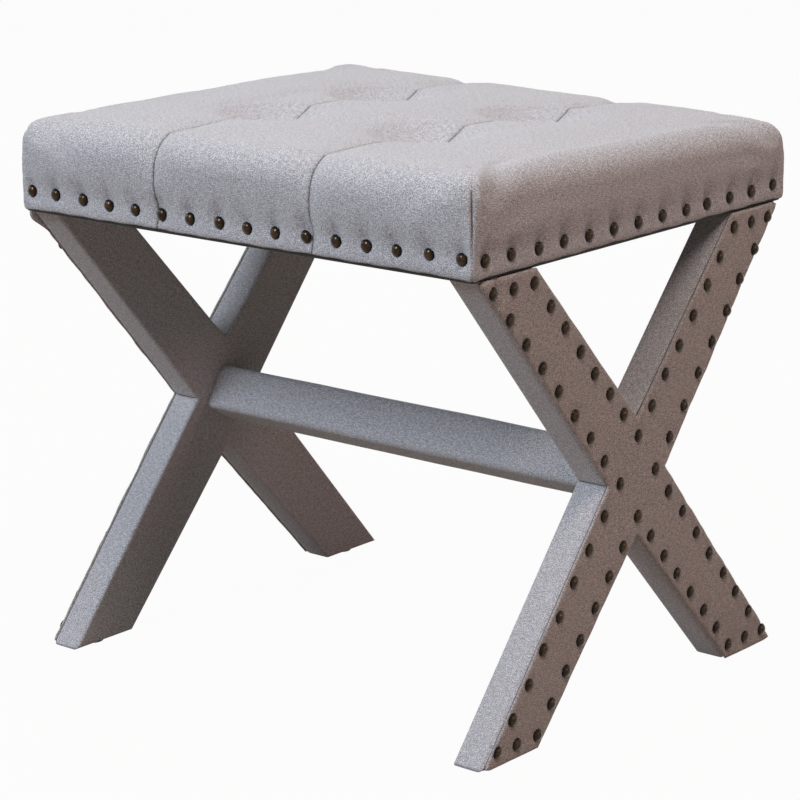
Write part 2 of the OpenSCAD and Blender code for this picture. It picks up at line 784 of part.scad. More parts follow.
module stretcher_washers() {
    color(steel) both_ends() translate([0, 0, stretcher_z]) difference() {
        rod_x(washer_d, panel_x - head_recess, washer_t);
        rod_x(stretcher_bolt_d + 2 * fit, panel_x - head_recess - past, washer_t + 2 * past);
    }
}
module cross_nuts() {
    color(steel) both_ends() difference() {
        stretcher_frame() translate([inner_x - cross_nut_in, 0, -cross_nut_l / 2]) {
            cylinder(h = cross_nut_l, d = cross_nut_d);
        }
        translate([0, 0, stretcher_z]) {
            rod_x(stretcher_bolt_d + 2 * fit, inner_x - cross_nut_in - cross_nut_d, 2 * cross_nut_d);
        }
    }
}

seat_cover();
seat_batting();
seat_foam();
seat_deck();
long_rail(-1);  // rail_front
long_rail(1);  // rail_back
end_rail(-1);  // rail_left
end_rail(1);  // rail_right
corner_blocks();
rail_screws();
deck_screws();
insert_nuts();
tuft_twine();
tuft_washers();
dust_cover();
dust_staples();
long_nails(-1);  // seat_nails_front
long_nails(1);  // seat_nails_back
end_nails(-1);  // seat_nails_left
end_nails(1);  // seat_nails_right
mirror([1, 0, 0]) bar_a();  // left_bar_a
mirror([1, 0, 0]) bar_b();  // left_bar_b
mirror([1, 0, 0]) leg_wrap();  // left_wrap
mirror([1, 0, 0]) leg_panel();  // left_panel
mirror([1, 0, 0]) leg_nails();  // left_nails
mirror([1, 0, 0]) leg_glides();  // left_glides
bar_a();  // right_bar_a
bar_b();  // right_bar_b
leg_wrap();  // right_wrap
leg_panel();  // right_panel
leg_nails();  // right_nails
leg_glides();  // right_glides
leg_bolts();
stretcher_core();
stretcher_wrap();
stretcher_dowels();
stretcher_bolts();
stretcher_washers();
cross_nuts();
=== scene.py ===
import json
import math
import random

import bpy
import numpy as np
from mathutils import Matrix, Vector

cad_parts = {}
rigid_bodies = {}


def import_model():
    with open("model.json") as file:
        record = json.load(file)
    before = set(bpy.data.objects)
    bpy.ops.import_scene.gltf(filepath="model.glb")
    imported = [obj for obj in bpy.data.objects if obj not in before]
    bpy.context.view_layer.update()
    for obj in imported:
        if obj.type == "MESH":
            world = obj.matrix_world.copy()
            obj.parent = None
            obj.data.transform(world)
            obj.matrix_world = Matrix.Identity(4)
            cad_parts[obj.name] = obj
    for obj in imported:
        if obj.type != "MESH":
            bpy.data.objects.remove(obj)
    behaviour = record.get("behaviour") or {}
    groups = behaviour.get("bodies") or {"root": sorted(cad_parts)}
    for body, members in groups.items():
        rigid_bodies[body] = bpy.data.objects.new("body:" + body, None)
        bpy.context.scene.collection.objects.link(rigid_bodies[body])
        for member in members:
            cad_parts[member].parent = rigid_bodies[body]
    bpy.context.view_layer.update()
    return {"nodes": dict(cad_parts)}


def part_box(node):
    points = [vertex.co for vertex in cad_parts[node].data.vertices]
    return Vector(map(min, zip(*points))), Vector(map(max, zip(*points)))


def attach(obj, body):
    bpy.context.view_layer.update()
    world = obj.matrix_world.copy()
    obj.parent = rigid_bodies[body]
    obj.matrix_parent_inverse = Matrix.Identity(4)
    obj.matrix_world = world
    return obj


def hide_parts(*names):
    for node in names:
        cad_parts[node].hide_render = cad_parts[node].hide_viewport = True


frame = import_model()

MM = 0.001

# Sizes of the frames, in millimetres: places are (y, z) above the glides.
GLIDE = 3.0
OUTER = 238.0
PANEL_BACK = 235.0
INNER = 206.6
WRAP = 1.4
FRAME_Y = 194.0
FRAME_TOP = 377.0
ARM_IN = 127.0
WAIST_Y = 37.5
WAIST_Z = 188.0
NOTCH_LOW = 140.0
NOTCH_HIGH = 236.0
FRAME_OUTLINE = [
    (-FRAME_Y, FRAME_TOP), (-WAIST_Y, WAIST_Z), (-FRAME_Y, 0),
    (-ARM_IN, 0), (0, NOTCH_LOW), (ARM_IN, 0),
    (FRAME_Y, 0), (WAIST_Y, WAIST_Z), (FRAME_Y, FRAME_TOP),
    (ARM_IN, FRAME_TOP), (0, NOTCH_HIGH), (-ARM_IN, FRAME_TOP),
]
# The four arms, each by its two points at the crossing and the two at its end, then the crossing.
PATCHES = [(1, 10, 0, 11), (10, 7, 9, 8), (4, 1, 3, 2), (7, 4, 6, 5), (1, 4, 10, 7)]

# Sizes of the seat, in millimetres.
SEAT_X = 238.0
SEAT_Y = 202.0
SEAT_HALF = np.array([SEAT_X, SEAT_Y])
SEAT_TOP = 454.0
CROWN = 5.0
SWELL = 3.5
CORNER_SWELL = 0.8
ROUND_OUT = 24.0
ROUND_UP = 24.0
HEM_CORNER = 4.5
TOP_CORNER = 18.0
SEAM_X = 82.0
TUFT_Y = 68.0
TUFT_DEEP = 26.0
TUFT_WIDE = 50.0
FOAM_BASE = 420.7
COVER = 1.2
RAIL_IN = 5.0
HEM_LOW = 382.5
HEM_FOLD = 383.9
CORNER_SEAM_LOW = 396.0
CORNER_SEAM_TOP = 444.0
# Places of the fine grid's lines, in from a corner.
CORNER_STEPS = (34, 28, 22, 17, 13, 9.5, 6.5, 4.0, 2.2, 1.0, 0)
# The cover's side as (out, height): the hem turned under, then up to where it rounds over.
SIDE_LINE = [
    (-3.4, 385.0), (-3.2, 383.1), (-2.4, 382.4), (-1.0, 382.4), (-0.2, HEM_FOLD),
    (0.2, 387), (0.3, 391), (0.2, 395.5), (0.4, 399), (0.9, 403),
    (1.6, 407.5), (2.4, 412), (3.0, 417), (3.4, 423),
]
# The side's rows count up to this level at the border of the top.
TOP_LEVEL = 20.0
# The cover is cut so much smaller than its filling, which moves it no further than its reach.
CUT_SMALL = 2.5
FILL_REACH = 4.5
FILL_STEPS = 20
# How far round each tuft the twine holds the cover fast, and how far it still holds it back.
TUFT_FAST = 9
TUFT_HELD = 34
# How deep the wadding lies under the cover, its thickness, and the foam's depth and inset.
WADDING_UNDER = 6.2
WADDING = 2.0
FOAM_UNDER = 2.8
FOAM_IN = 6

# The nails: half a head's width and its height, and the way that each row's heads face.
NAIL_WIDE = 5.25
NAIL_TALL = 3.1
SEAT_NAILS = {
    "seat_nails_front": (0, -1, 0), "seat_nails_back": (0, 1, 0),
    "seat_nails_left": (-1, 0, 0), "seat_nails_right": (1, 0, 0),
}
FRAME_NAILS = {"left_nails": (-1, 0, 0), "right_nails": (1, 0, 0)}

# The camera: its place in metres, its turn, lift and roll in degrees, and its lens in pixels.
CAMERA_AT = (1.5048, -1.7524, 0.8246)
CAMERA_ANGLES = (40.78, 14.79, -0.93)
LENS_PIXELS = 2866.8
PICTURE_WIDE = 800
LAMP_AIM = Vector((0, 0, 0.3))


def smooth(x):
    """A soft step: 0 up to 0, 1 from 1."""
    x = np.clip(x, 0, 1)
    return x * x * (3 - 2 * x)


def ripple(points, size, seed):
    """Slow, seeded unevenness between -1 and 1 at each of the points."""
    rng = np.random.default_rng(seed)
    total = np.zeros(len(points))
    for _ in range(7):
        way = rng.normal(size=points.shape[1])
        way *= rng.uniform(0.6, 1.6) / np.linalg.norm(way)
        total += np.sin(points @ way * (2 * math.pi / size) + rng.uniform(0, 6.28))
    return total / 4


def after(ring):
    """Each point's neighbour round a closed ring."""
    return np.roll(ring, -1)


def grid_quads(nx, ny):
    """The faces of a grid of points that lie row after row."""
    starts = [j * nx + i for j in range(ny - 1) for i in range(nx - 1)]
    return [(a, a + 1, a + nx + 1, a + nx) for a in starts]


def grid_rim(nx, ny):
    """The points round such a grid, from its first corner."""
    rim = [*range(nx), *range(2 * nx - 1, nx * ny, nx)]
    rim += [*range(nx * ny - 2, nx * (ny - 1) - 1, -1), *range(nx * (ny - 2), 0, -nx)]
    return np.array(rim)


def lengths_along(places):
    """How far along a line of places each one lies."""
    return np.concatenate([[0], np.cumsum(np.linalg.norm(np.diff(places, axis=0), axis=1))])


def read(items, key, width=1, kind=float):
    """One property of all the items, as an array."""
    values = np.zeros(len(items) * width, kind)
    items.foreach_get(key, values)
    return values.reshape(-1, width) if width > 1 else values


def new_piece(name, points, faces, cloth=None):
    """A mesh object in millimetres, with a map of its cloth in metres if one is given."""
    mesh = bpy.data.meshes.new(name)
    mesh.from_pydata((np.asarray(points) * MM).tolist(), [], [list(f) for f in faces])
    mesh.validate()
    mesh.update()
    mesh.shade_smooth()
    if cloth is not None:
        lay_cloth(mesh, cloth)
    piece = bpy.data.objects.new(name, mesh)
    bpy.context.scene.collection.objects.link(piece)
    return piece


def mark_seams_and_shade(piece, closeness):
    """Stores how close each point lies to a seam or a nail's rim: 1 on it, 0 well away. It darkens the finish
    as a dark seam line, as painted shade in folds and at a nail's rim, and as painted shadows by the nails.
    """
    layer = piece.data.attributes.new("seam", "FLOAT", "POINT")
    layer.data.foreach_set("value", np.clip(closeness, 0, 1).astype(np.float32))


def lay_cloth(mesh, cloth):
    """Gives each face corner its place on the cloth, which a function works out."""
    face_of = np.repeat(np.arange(len(mesh.polygons)), read(mesh.polygons, "loop_total", 1, int))
    corners = read(mesh.loops, "vertex_index", 1, int)
    places = read(mesh.vertices, "co", 3)[corners]
    normals = read(mesh.polygons, "normal", 3)[face_of]
    spread = cloth(places, normals, corners, face_of)
    layer = mesh.uv_layers.new(name="Cloth")
    layer.uv.foreach_set("vector", spread.astype(np.float32).ravel())


def box_cloth(places, normals, corners, face_of):
    """Cloth laid on whichever of the three planes a face turns to."""
    side = np.abs(normals).argmax(axis=1)
    first = np.where(side == 0, places[:, 1], places[:, 0])
    second = np.where(side == 2, places[:, 1], places[:, 2])
    return np.stack([first, second], axis=1) + side[:, None] * 0.37


def frame_cloth(places, normals, corners, face_of):
    """Cloth on a frame: upright on its faces, and along the edge strips."""
    flat = np.abs(normals[:, 0]) > 0.7
    way = np.where((normals[:, 1] * normals[:, 2])[:, None] > 0, (-0.64, 0.77), (0.64, 0.77))
    along = places[:, 1] * way[:, 0] + places[:, 2] * way[:, 1]
    first = np.where(flat, places[:, 1], places[:, 0] + 0.7)
    second = np.where(flat, places[:, 2], along)
    return np.stack([first, second], axis=1)


def normals_of(points, faces):
    """The normal at each point, from quads."""
    p = points[np.asarray(faces)]
    across = np.cross(p[:, 2] - p[:, 0], p[:, 3] - p[:, 1])
    total = np.zeros_like(points)
    for k in range(4):
        np.add.at(total, np.asarray(faces)[:, k], across)
    return total / np.maximum(np.linalg.norm(total, axis=1, keepdims=True), 1e-9)


def finish_piece(piece, material):
    """Gives a piece its finish. The stool is fixed, so all ride on one body."""
    piece.data.materials.append(material)
    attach(piece, "root")


# The camera and the setting.

def make_camera():
    """The camera, which looks down its own -Z."""
    data = bpy.data.cameras.new("camera")
    camera = bpy.data.objects.new("camera", data)
    bpy.context.scene.collection.objects.link(camera)
    bpy.context.scene.camera = camera
    data.sensor_width = 36.0
    data.lens = data.sensor_width * LENS_PIXELS / PICTURE_WIDE
    data.clip_end = 100
    turn, lift, roll = (math.radians(a) for a in CAMERA_ANGLES)
    back = Vector((math.sin(turn) * math.cos(lift), -math.cos(turn) * math.cos(lift), math.sin(lift)))
    right = (-back).cross(Vector((0, 0, 1))).normalized()
    up = right.cross(-back)
    tilted = math.cos(roll) * right + math.sin(roll) * up
    upright = -math.sin(roll) * right + math.cos(roll) * up
    axes = Matrix((tilted, upright, back)).transposed()
    camera.matrix_world = Matrix.Translation(CAMERA_AT) @ axes.to_4x4()


def soft_lamp(name, at, size, power, colour):
    """A round soft lamp, aimed at the middle of the stool."""
    data = bpy.data.lights.new(name, "AREA")
    data.shape = "DISK"
    data.size = size
    data.energy = power
    data.color = colour
    lamp = bpy.data.objects.new(name, data)
    bpy.context.scene.collection.objects.link(lamp)
    lamp.location = at
    lamp.rotation_mode = "QUATERNION"
    lamp.rotation_quaternion = (LAMP_AIM - Vector(at)).to_track_quat("-Z", "Y")


def make_lights():
    soft_lamp("window", (-0.6, -2.7, 2.6), 1.3, 79, (0.73, 0.83, 1.0))
    soft_lamp("skylight", (0.0, 0.3, 3.4), 1.6, 17, (0.95, 1.0, 0.97))
    soft_lamp("warm_overhead", (1.4, -0.5, 3.2), 1.4, 37, (1.0, 0.87, 0.84))
    soft_lamp("warm_side", (3.2, 0.9, 1.4), 0.45, 10.5, (1.0, 0.62, 0.58))
    soft_lamp("side_glint", (-2.6, -0.9, 1.5), 0.4, 5, (1.0, 0.97, 0.92))
    soft_lamp("back_fill", (-2.2, 2.6, 1.7), 1.6, 34, (0.9, 0.95, 1.0))


# Shader sums: a Wire is one socket of a material, and sums on Wires add nodes.

class Wire:
    def __init__(self, tree, socket):
        self.tree = tree
        self.socket = socket

    def node(self, kind, settings=None, sockets=None, out=0):
        """Adds any node: its settings first, then its sockets. Returns one output."""
        made = self.tree.nodes.new("ShaderNode" + kind)
        for key, value in (settings or {}).items():
            setattr(made, key, value)
        for key, value in (sockets or {}).items():
            if isinstance(value, Wire):
                self.tree.links.new(value.socket, made.inputs[key])
            else:
                made.inputs[key].default_value = value
        return Wire(self.tree, made.outputs[out] if len(made.outputs) else None)

    def math(self, operation, *values):
        return self.node("Math", {"operation": operation}, dict(enumerate(values)))

    def __add__(self, other):
        return self.math("ADD", self, other)

    def __radd__(self, other):
        return self.math("ADD", other, self)

    def __sub__(self, other):
        return self.math("SUBTRACT", self, other)

    def __rsub__(self, other):
        return self.math("SUBTRACT", other, self)

    def __mul__(self, other):
        return self.math("MULTIPLY", self, other)

    def __rmul__(self, other):
        return self.math("MULTIPLY", other, self)

    def __pow__(self, other):
        return self.math("POWER", self, other)

    def __rpow__(self, other):
        return self.math("POWER", other, self)

    def sine(self):
        return self.math("SINE", self)

    def within(self, low, high):
        """This value brought to 0 at low and 1 at high, and held there."""
        sockets = {0: self, 1: low, 2: high, 3: 0.0, 4: 1.0}
        return self.node("MapRange", {"interpolation_type": "SMOOTHSTEP"}, sockets)

    def blend(self, one, other):
        """A colour between two, by this value."""
        return self.node("Mix", {"data_type": "RGBA"}, {0: self, 6: one, 7: other}, 2)

    def stretched(self, x, y, z=1.0):
        """This vector with each part scaled."""
        return self.node("VectorMath", {"operation": "MULTIPLY"}, {0: self, 1: (x, y, z)})

    def parts(self):
        """This vector's x, y and z."""
        split = self.node("SeparateXYZ", None, {0: self})
        return [Wire(self.tree, s) for s in split.socket.node.outputs]

    def cloud(self, scale, detail=3.0, roughness=0.55, out=0):
        sockets = {"Vector": self, "Scale": scale, "Detail": detail, "Roughness": roughness}
        return self.node("TexNoise", None, sockets, out)


def rgb(red, green, blue):
    """A colour by its 0 to 255 values on a screen."""
    parts = [c / 255 for c in (red, green, blue)]
    return (*[c / 12.92 if c <= 0.04045 else ((c + 0.055) / 1.055) ** 2.4 for c in parts], 1.0)


def new_material(name):
    """An empty material, and a Wire to start its nodes from."""
    material = bpy.data.materials.new(name)
    material.use_nodes = True
    material.node_tree.nodes.clear()
    return material, Wire(material.node_tree, None)


def surface(start, colour, roughness, height=None, strength=0.4, reach=0.0005, **constants):
    """The shader of a finish: constants are set on the shader's own sockets."""
    names = {
        "metallic": "Metallic", "sheen": "Sheen Weight", "sheen_roughness": "Sheen Roughness",
        "coat": "Coat Weight", "coat_roughness": "Coat Roughness",
        "specular": "Specular IOR Level", "subsurface": "Subsurface Weight",
    }
    sockets = {"Base Color": colour, "Roughness": roughness}
    sockets.update({names[k]: v for k, v in constants.items()})
    if height is not None:
        bump = {"Height": height, "Strength": strength, "Distance": reach}
        sockets["Normal"] = start.node("Bump", None, bump)
    shader = start.node("BsdfPrincipled", None, sockets)
    start.node("OutputMaterial", None, {"Surface": shader})


def linen(name, light, middle, dark):
    """Heathered linen: uneven yarns both ways, slubs, and a soft nap."""
    material, start = new_material(name)
    cloth = start.node("UVMap", {"uv_map": "Cloth"})
    place = start.node("TexCoord", out=3)
    drift = cloth.cloud(9.0, 2.0, out=1)
    bent = cloth.node("VectorMath", {"operation": "MULTIPLY_ADD"}, {0: drift, 1: (0.004, 0.004, 0), 2: cloth})
    warp = bent.stretched(1250, 210).cloud(1.0, 3.0, 0.65)
    weft = bent.stretched(210, 1250).cloud(1.0, 3.0, 0.65)
    fleck = bent.stretched(1350, 1350).cloud(1.0, 2.0, 0.7)
    dyed = bent.stretched(850, 850).cloud(1.0, 2.0, 0.6)
    slub = bent.stretched(420, 22).cloud(1.0, 2.0, 0.5).within(0.62, 0.75)
    across, along, _ = bent.parts()
    over = (across * 4400).sine() * (along * 4400).sine()
    turn = over.within(-0.5, 0.5)
    yarn = warp * turn + weft * (1 - turn)
    heather = bent.stretched(330, 330).cloud(1.0, 2.0, 0.7)
    shade = (yarn + (fleck - 0.5) * 2.1 + (heather - 0.5) * 0.35).within(0.32, 0.68)
    worn = place.cloud(7.0, 3.0, 0.6).within(0.3, 0.75)
    # The seam attribute darkens the cloth: a dark seam line, painted shade in creases, folds and grooves, and
    # painted shadows by the nails.
    near = start.node("Attribute", {"attribute_name": "seam"}, out=2)
    stitch = (across * 2900).sine() + (along * 2900).sine()
    line = near.within(0.84, 0.95) * (stitch * 0.12 + 0.86)
    seam_line_and_shade = near ** 3.0 * 0.3 + line * 0.62
    colour = shade.blend(dark, middle)
    colour = (shade ** 2.2).blend(colour, light)
    colour = (dyed.within(0.55, 0.7) * 0.4).blend(colour, rgb(186, 166, 148))
    colour = (dyed.within(0.45, 0.3) * 0.35).blend(colour, rgb(176, 186, 204))
    colour = (slub * 0.28).blend(colour, light)
    colour = (worn * 0.16).blend(colour, middle)
    colour = seam_line_and_shade.blend(colour, rgb(58, 48, 43))
    height = yarn * 0.55 + fleck * 0.45 + over * 0.12 - line * 1.6
    surface(
        start, colour, worn * 0.08 + 0.84, height, 0.55, 0.00045,
        sheen=0.18, sheen_roughness=0.5, specular=0.25,
    )
    return material


def antique_bronze():
    """Dark bronze nail heads, rubbed brighter on the crown, with pits of patina, and darker at the rim as
    patina and painted contact shadow.
    """
    material, start = new_material("antique_bronze")
    place = start.node("TexCoord", out=3)
    patina = place.cloud(420.0, 4.0, 0.6)
    pits = place.cloud(1500.0, 2.0, 0.5)
    rubbed = (start.node("NewGeometry", out=7) + (patina - 0.5) * 0.15).within(0.5, 0.62)
    rim = start.node("Attribute", {"attribute_name": "seam"}, out=2)
    colour = patina.within(0.35, 0.65).blend(rgb(36, 26, 17), rgb(61, 45, 30))
    colour = (rubbed * 0.25).blend(colour, rgb(104, 82, 54))
    # Darker towards each head's rim: patina there, and painted contact shadow.
    colour = rim.within(0.55, 0.95).blend(colour, rgb(16, 11, 8))
    rough = 0.15 + patina * 0.09
    surface(
        start, colour, rough, pits * 0.5 + patina * 0.5, 0.12, 0.0002,
        metallic=1.0, coat=0.15, coat_roughness=0.06,
    )
    return material


def wood(name, pale, deep, way):
    """Planed timber with its grain along one axis."""
    material, start = new_material(name)
    place = start.node("TexCoord", out=3)
    scale = [38.0, 38.0, 38.0]
    scale[way] *= 0.06
    grain = place.stretched(*scale).cloud(1.0, 5.0, 0.6)
    fine = place.stretched(*[s * 14 for s in scale]).cloud(1.0, 2.0, 0.5)
    colour = (grain * 0.75 + fine * 0.35).within(0.3, 0.8).blend(pale, deep)
    surface(start, colour, 0.5 + fine * 0.2, fine, 0.2, 0.0004, specular=0.35)
    return material


def plywood():
    """Birch plywood: its plies show at the edges and its grain on the faces."""
    material, start = new_material("birch_plywood")
    place = start.node("TexCoord", out=3)
    _, _, up = place.parts()
    plies = (up * 2100).sine().within(-0.4, 0.4)
    grain = place.stretched(9, 120, 120).cloud(1.0, 4.0, 0.6)
    colour = (grain * 0.7 + plies * 0.3).within(0.25, 0.8).blend(rgb(214, 184, 142), rgb(168, 128, 86))
    surface(start, colour, 0.55 + grain * 0.15, grain, 0.2, 0.0004)
    return material


def foam():
    """Cut yellow foam with open cells."""
    material, start = new_material("cut_foam")
    cells = start.node("TexCoord", out=3).node("TexVoronoi", None, {"Scale": 900.0})
    colour = cells.within(0.1, 0.7).blend(rgb(196, 176, 122), rgb(236, 222, 176))
    surface(start, colour, 0.85 + cells * 0.1, cells, 0.6, 0.0006, subsurface=0.1)
    return material


def wadding():
    """White fibre wadding, with its fluff drawn out one way."""
    material, start = new_material("polyester_wadding")
    place = start.node("TexCoord", out=3)
    fluff = place.stretched(300, 900, 500).cloud(1.0, 5.0, 0.7)
    colour = fluff.within(0.3, 0.7).blend(rgb(214, 214, 210), rgb(246, 246, 243))
    surface(start, colour, 0.9 + fluff * 0.08, fluff, 0.8, 0.001, sheen=0.3)
    return material


def metal(name, dull, bright):
    """Turned or rolled metal with fine marks and a little tarnish."""
    material, start = new_material(name)
    marks = start.node("TexCoord", out=3).cloud(260.0, 4.0, 0.65)
    colour = marks.within(0.3, 0.7).blend(dull, bright)
    surface(start, colour, 0.3 + marks * 0.25, marks, 0.15, 0.0002, metallic=1.0)
    return material


def grained(name, one, other, scale, roughness, strength=0.4):
    """A plain finish with fine grain: moulded plastic, fibre board, thread or felt."""
    material, start = new_material(name)
    grain = start.node("TexCoord", out=3).cloud(scale, 4.0, 0.6)
    colour = grain.within(0.3, 0.7).blend(one, other)
    surface(start, colour, grain * 0.15 + roughness, grain, strength, 0.0004)
    return material


def dust_weave():
    """Black spun cloth with its embossed points."""
    material, start = new_material("black_spun_cloth")
    cloth = start.node("UVMap", {"uv_map": "Cloth"})
    across, along, _ = cloth.parts()
    points = (across * 3900).sine() * (along * 3900).sine()
    fibre = cloth.cloud(1400.0, 3.0, 0.7)
    colour = fibre.within(0.3, 0.7).blend(rgb(20, 19, 19), rgb(44, 42, 41))
    surface(start, colour, 0.75 + fibre * 0.15, points * 0.4 + fibre * 0.6, 0.5, 0.0004)
    return material


def shown_white(start):
    """1 for a ray from the camera, a reflection or glass, and 0 for one that brings light."""
    rays = start.node("LightPath")
    seen = rays
    for name in ("Is Glossy Ray", "Is Transmission Ray"):
        seen = seen.math("MAXIMUM", seen, Wire(rays.tree, rays.socket.node.outputs[name]))
    return seen


def make_floor():
    """A pale floor that keeps the shadow."""
    material, start = new_material("pale_floor")
    dust = start.node("TexCoord", out=3).cloud(40.0, 3.0)
    ground = dust.blend(rgb(138, 124, 114), rgb(148, 134, 123))
    matt = start.node("BsdfPrincipled", None, {"Base Color": ground, "Roughness": 0.95})
    glow = start.node("Emission", None, {"Color": (1, 1, 1, 1), "Strength": 1.0})
    both = start.node("MixShader", None, {0: shown_white(start) * 0.965, 1: matt, 2: glow})
    start.node("OutputMaterial", None, {"Surface": both})
    ticks = np.linspace(-14000.0, 14000.0, 8)
    floor = new_piece("floor", [(x, y, 0) for y in ticks for x in ticks], grid_quads(8, 8))
    floor.data.materials.append(material)


def make_world():
    """A plain white setting that gives the object only a little light."""
    world = bpy.data.worlds.new("setting")
    bpy.context.scene.world = world
    world.use_nodes = True
    world.node_tree.nodes.clear()
    start = Wire(world.node_tree, None)
    air = start.node("Background", None, {"Color": (1.0, 0.93, 0.9, 1), "Strength": 0.03})
    white = start.node("Background", None, {"Color": (1, 1, 1, 1), "Strength": 1.0})
    both = start.node("MixShader", None, {0: shown_white(start), 1: air, 2: white})
    start.node("OutputWorld", None, {"Surface": both})


# The seat.

def seat_lines(reach, pitch, close, edge):
    """A grid's lines across the seat, close together at the given spots and at the corners."""
    half = [0.0]
    for spot in sorted(set(close) | {reach - e for e in edge}):
        gap = spot - half[-1]
        if gap > 0:
            steps = max(1, round(gap / pitch))
            half += [half[-1] + gap * k / steps for k in range(1, steps)] + [spot]
    half = np.array(half)
    return np.concatenate([-half[:0:-1], half])


def seat_side(step):
    """The side from the turned hem up: out and height, both at a corner, and the row's level."""
    side = [(out, up, out * 0.25 if out > 0 else out, up, level) for level, (out, up) in enumerate(SIDE_LINE)]
    low = len(side)
    for lean in np.arange(0, 89, step):
        out, up = math.cos(math.radians(lean)), math.sin(math.radians(lean))
        place = []
        for size, swell in ((1.0, SWELL), ((out ** 3.4 + up ** 3.4) ** (-1 / 3.4), CORNER_SWELL)):
            drawn = (ROUND_OUT - SWELL + swell) * (1 - out * size)
            place += [swell - drawn, SEAT_TOP - ROUND_UP * (1 - up * size)]
        side.append((*place, low + (TOP_LEVEL - low) * lean / 90))
    return np.array(side)


def lean_of_top(points):
    """The worn top stands a little fuller at the front, and lower at its far right corner."""
    a, b = np.clip(points[:, :2] / SEAT_HALF, -1, 1).T / 2 + 0.5
    far = np.linalg.norm(points[:, :2] - SEAT_HALF, axis=1)
    front = 5.5 * (1 - b) ** 1.4 * smooth(a / 0.22)
    lean = 1.8 - 1.8 * a - 6.0 * a * b + front - 3.5 * np.exp(-((far / 48) ** 2))
    return lean * smooth((points[:, 2] - 405) / 45)


def bend_corner(flat, half, radius):
    """Flat places on a rectangle, with its corners bent into arcs."""
    inner = half - radius
    share = np.clip((np.abs(flat) - inner) / radius, 0, 1)
    bent = inner + radius * share * np.sqrt(1 - share[:, ::-1] ** 2 / 2)
    return np.sign(flat) * np.where(np.abs(flat) > inner, bent, np.abs(flat))


def drawn_in(flat, out):
    """Places on the hem's rectangle, moved to the ring that lies so far out."""
    still = SEAT_HALF - 60
    size = np.abs(flat)
    moved = still + (size - still) * (SEAT_HALF + out - still) / (SEAT_HALF - still)
    return np.sign(flat) * np.where(size > still, moved, size)


def from_corner(flat):
    """How far each place on the rectangle's edge is from the nearest corner."""
    return (SEAT_HALF - np.abs(flat)).max(axis=1)


def from_tuft(flat):
    """How far each flat place is from the nearest of the four tufts."""
    return np.linalg.norm(np.abs(flat) - (SEAM_X, TUFT_Y), axis=1)


def on_side(flat, axis):
    """Whether each flat place lies on one of the two sides across that axis."""
    return np.abs(flat[:, axis]) > SEAT_HALF[axis] - 0.01


class SeatGrid:
    """The cover's grid: a flat top of lines in x and y, and side rings from its border down."""

    def __init__(self, pitch, edge, side, seams=(SEAM_X,)):
        self.xs = seat_lines(SEAT_X, pitch, seams, edge)
        self.ys = seat_lines(SEAT_Y, pitch, (TUFT_Y,), edge)
        self.side = side
        nx, ny = len(self.xs), len(self.ys)
        self.top_flat = np.array([(x, y) for y in self.ys for x in self.xs])
        self.border = grid_rim(nx, ny)
        self.round = len(self.border)
        self.run = lengths_along(self.top_flat[self.border])
        self.ids = [*(nx * ny + np.arange(self.round * len(side)).reshape(-1, self.round)), self.border]
        faces = grid_quads(nx, ny)
        self.top_faces = len(faces)
        for one, two in zip(self.ids[:-1], self.ids[1:]):
            faces += zip(one, after(one), after(two), two)
        self.faces = np.array(faces)

    def points(self):
        """The unfilled cover, with its crown and its rounded border."""
        half = SEAT_HALF + SWELL - ROUND_OUT
        top = bend_corner(drawn_in(self.top_flat, SWELL - ROUND_OUT), half, TOP_CORNER)
        share = top / half
        z = SEAT_TOP + CROWN * (1 - share[:, 0] ** 2) * (1 - share[:, 1] ** 2)
        parts = [np.column_stack([top, z])]
        full = self.side[-1, 1]
        flat = self.top_flat[self.border]
        near = smooth(1 - from_corner(flat) / 42)[:, None]
        for out, height, corner_out, corner_height, _ in self.side:
            rise = np.clip((height - HEM_FOLD) / (full - HEM_FOLD), 0, 1)
            radius = HEM_CORNER + (TOP_CORNER - HEM_CORNER) * rise ** 3
            reach = out + (corner_out - out) * near
            ring = bend_corner(drawn_in(flat, reach), SEAT_HALF + reach, radius)
            parts.append(np.column_stack([ring, height + (corner_height - height) * near]))
        return np.vstack(parts)

    def flat(self):
        """Each point's place on the hem's rectangle, and its row: -1 on the top."""
        rings = len(self.side)
        places = np.vstack([self.top_flat] + [self.top_flat[self.border]] * rings)
        return places, np.repeat(np.arange(-1, rings), [len(self.top_flat)] + [self.round] * rings)


def weights(places, knots):
    """How much each knot counts at each place, straight between neighbours."""
    table = np.zeros((len(places), len(knots)))
    at = np.clip(np.searchsorted(knots, places, side="right") - 1, 0, len(knots) - 2)
    share = np.clip((places - knots[at]) / (knots[at + 1] - knots[at]), 0, 1)
    table[np.arange(len(places)), at] = 1 - share
    table[np.arange(len(places)), at + 1] += share
    return table


def carry_over(coarse, moved, fine):
    """The coarse grid's movement, read off at the fine grid's points."""
    nx, ny = len(coarse.xs), len(coarse.ys)
    top = moved[: nx * ny].reshape(ny, nx, 3)
    wx, wy = weights(fine.xs, coarse.xs), weights(fine.ys, coarse.ys)
    out = [np.einsum("ja,ib,abk->jik", wy, wx, top).reshape(-1, 3)]
    rows = np.vstack([moved[nx * ny :].reshape(-1, coarse.round, 3), moved[coarse.border][None]])
    closed = np.concatenate([rows, rows[:, :1]], axis=1)
    around = weights(fine.run, np.append(coarse.run, coarse.run[-1] + (coarse.run[-1] - coarse.run[-2])))
    wr = weights(fine.side[:, 4], np.append(coarse.side[:, 4], TOP_LEVEL))
    out.append(np.einsum("ra,kb,abc->rkc", wr, around, closed).reshape(-1, 3))
    return np.vstack(out)


def tuft_shape(flat, deep):
    """How far the top is pulled down at each flat place by the tufts."""
    share = np.clip(1 - from_tuft(flat) / TUFT_WIDE, 0, 1)
    return deep * (0.72 * share + 0.28 * share ** 2) * smooth(share / 0.22)


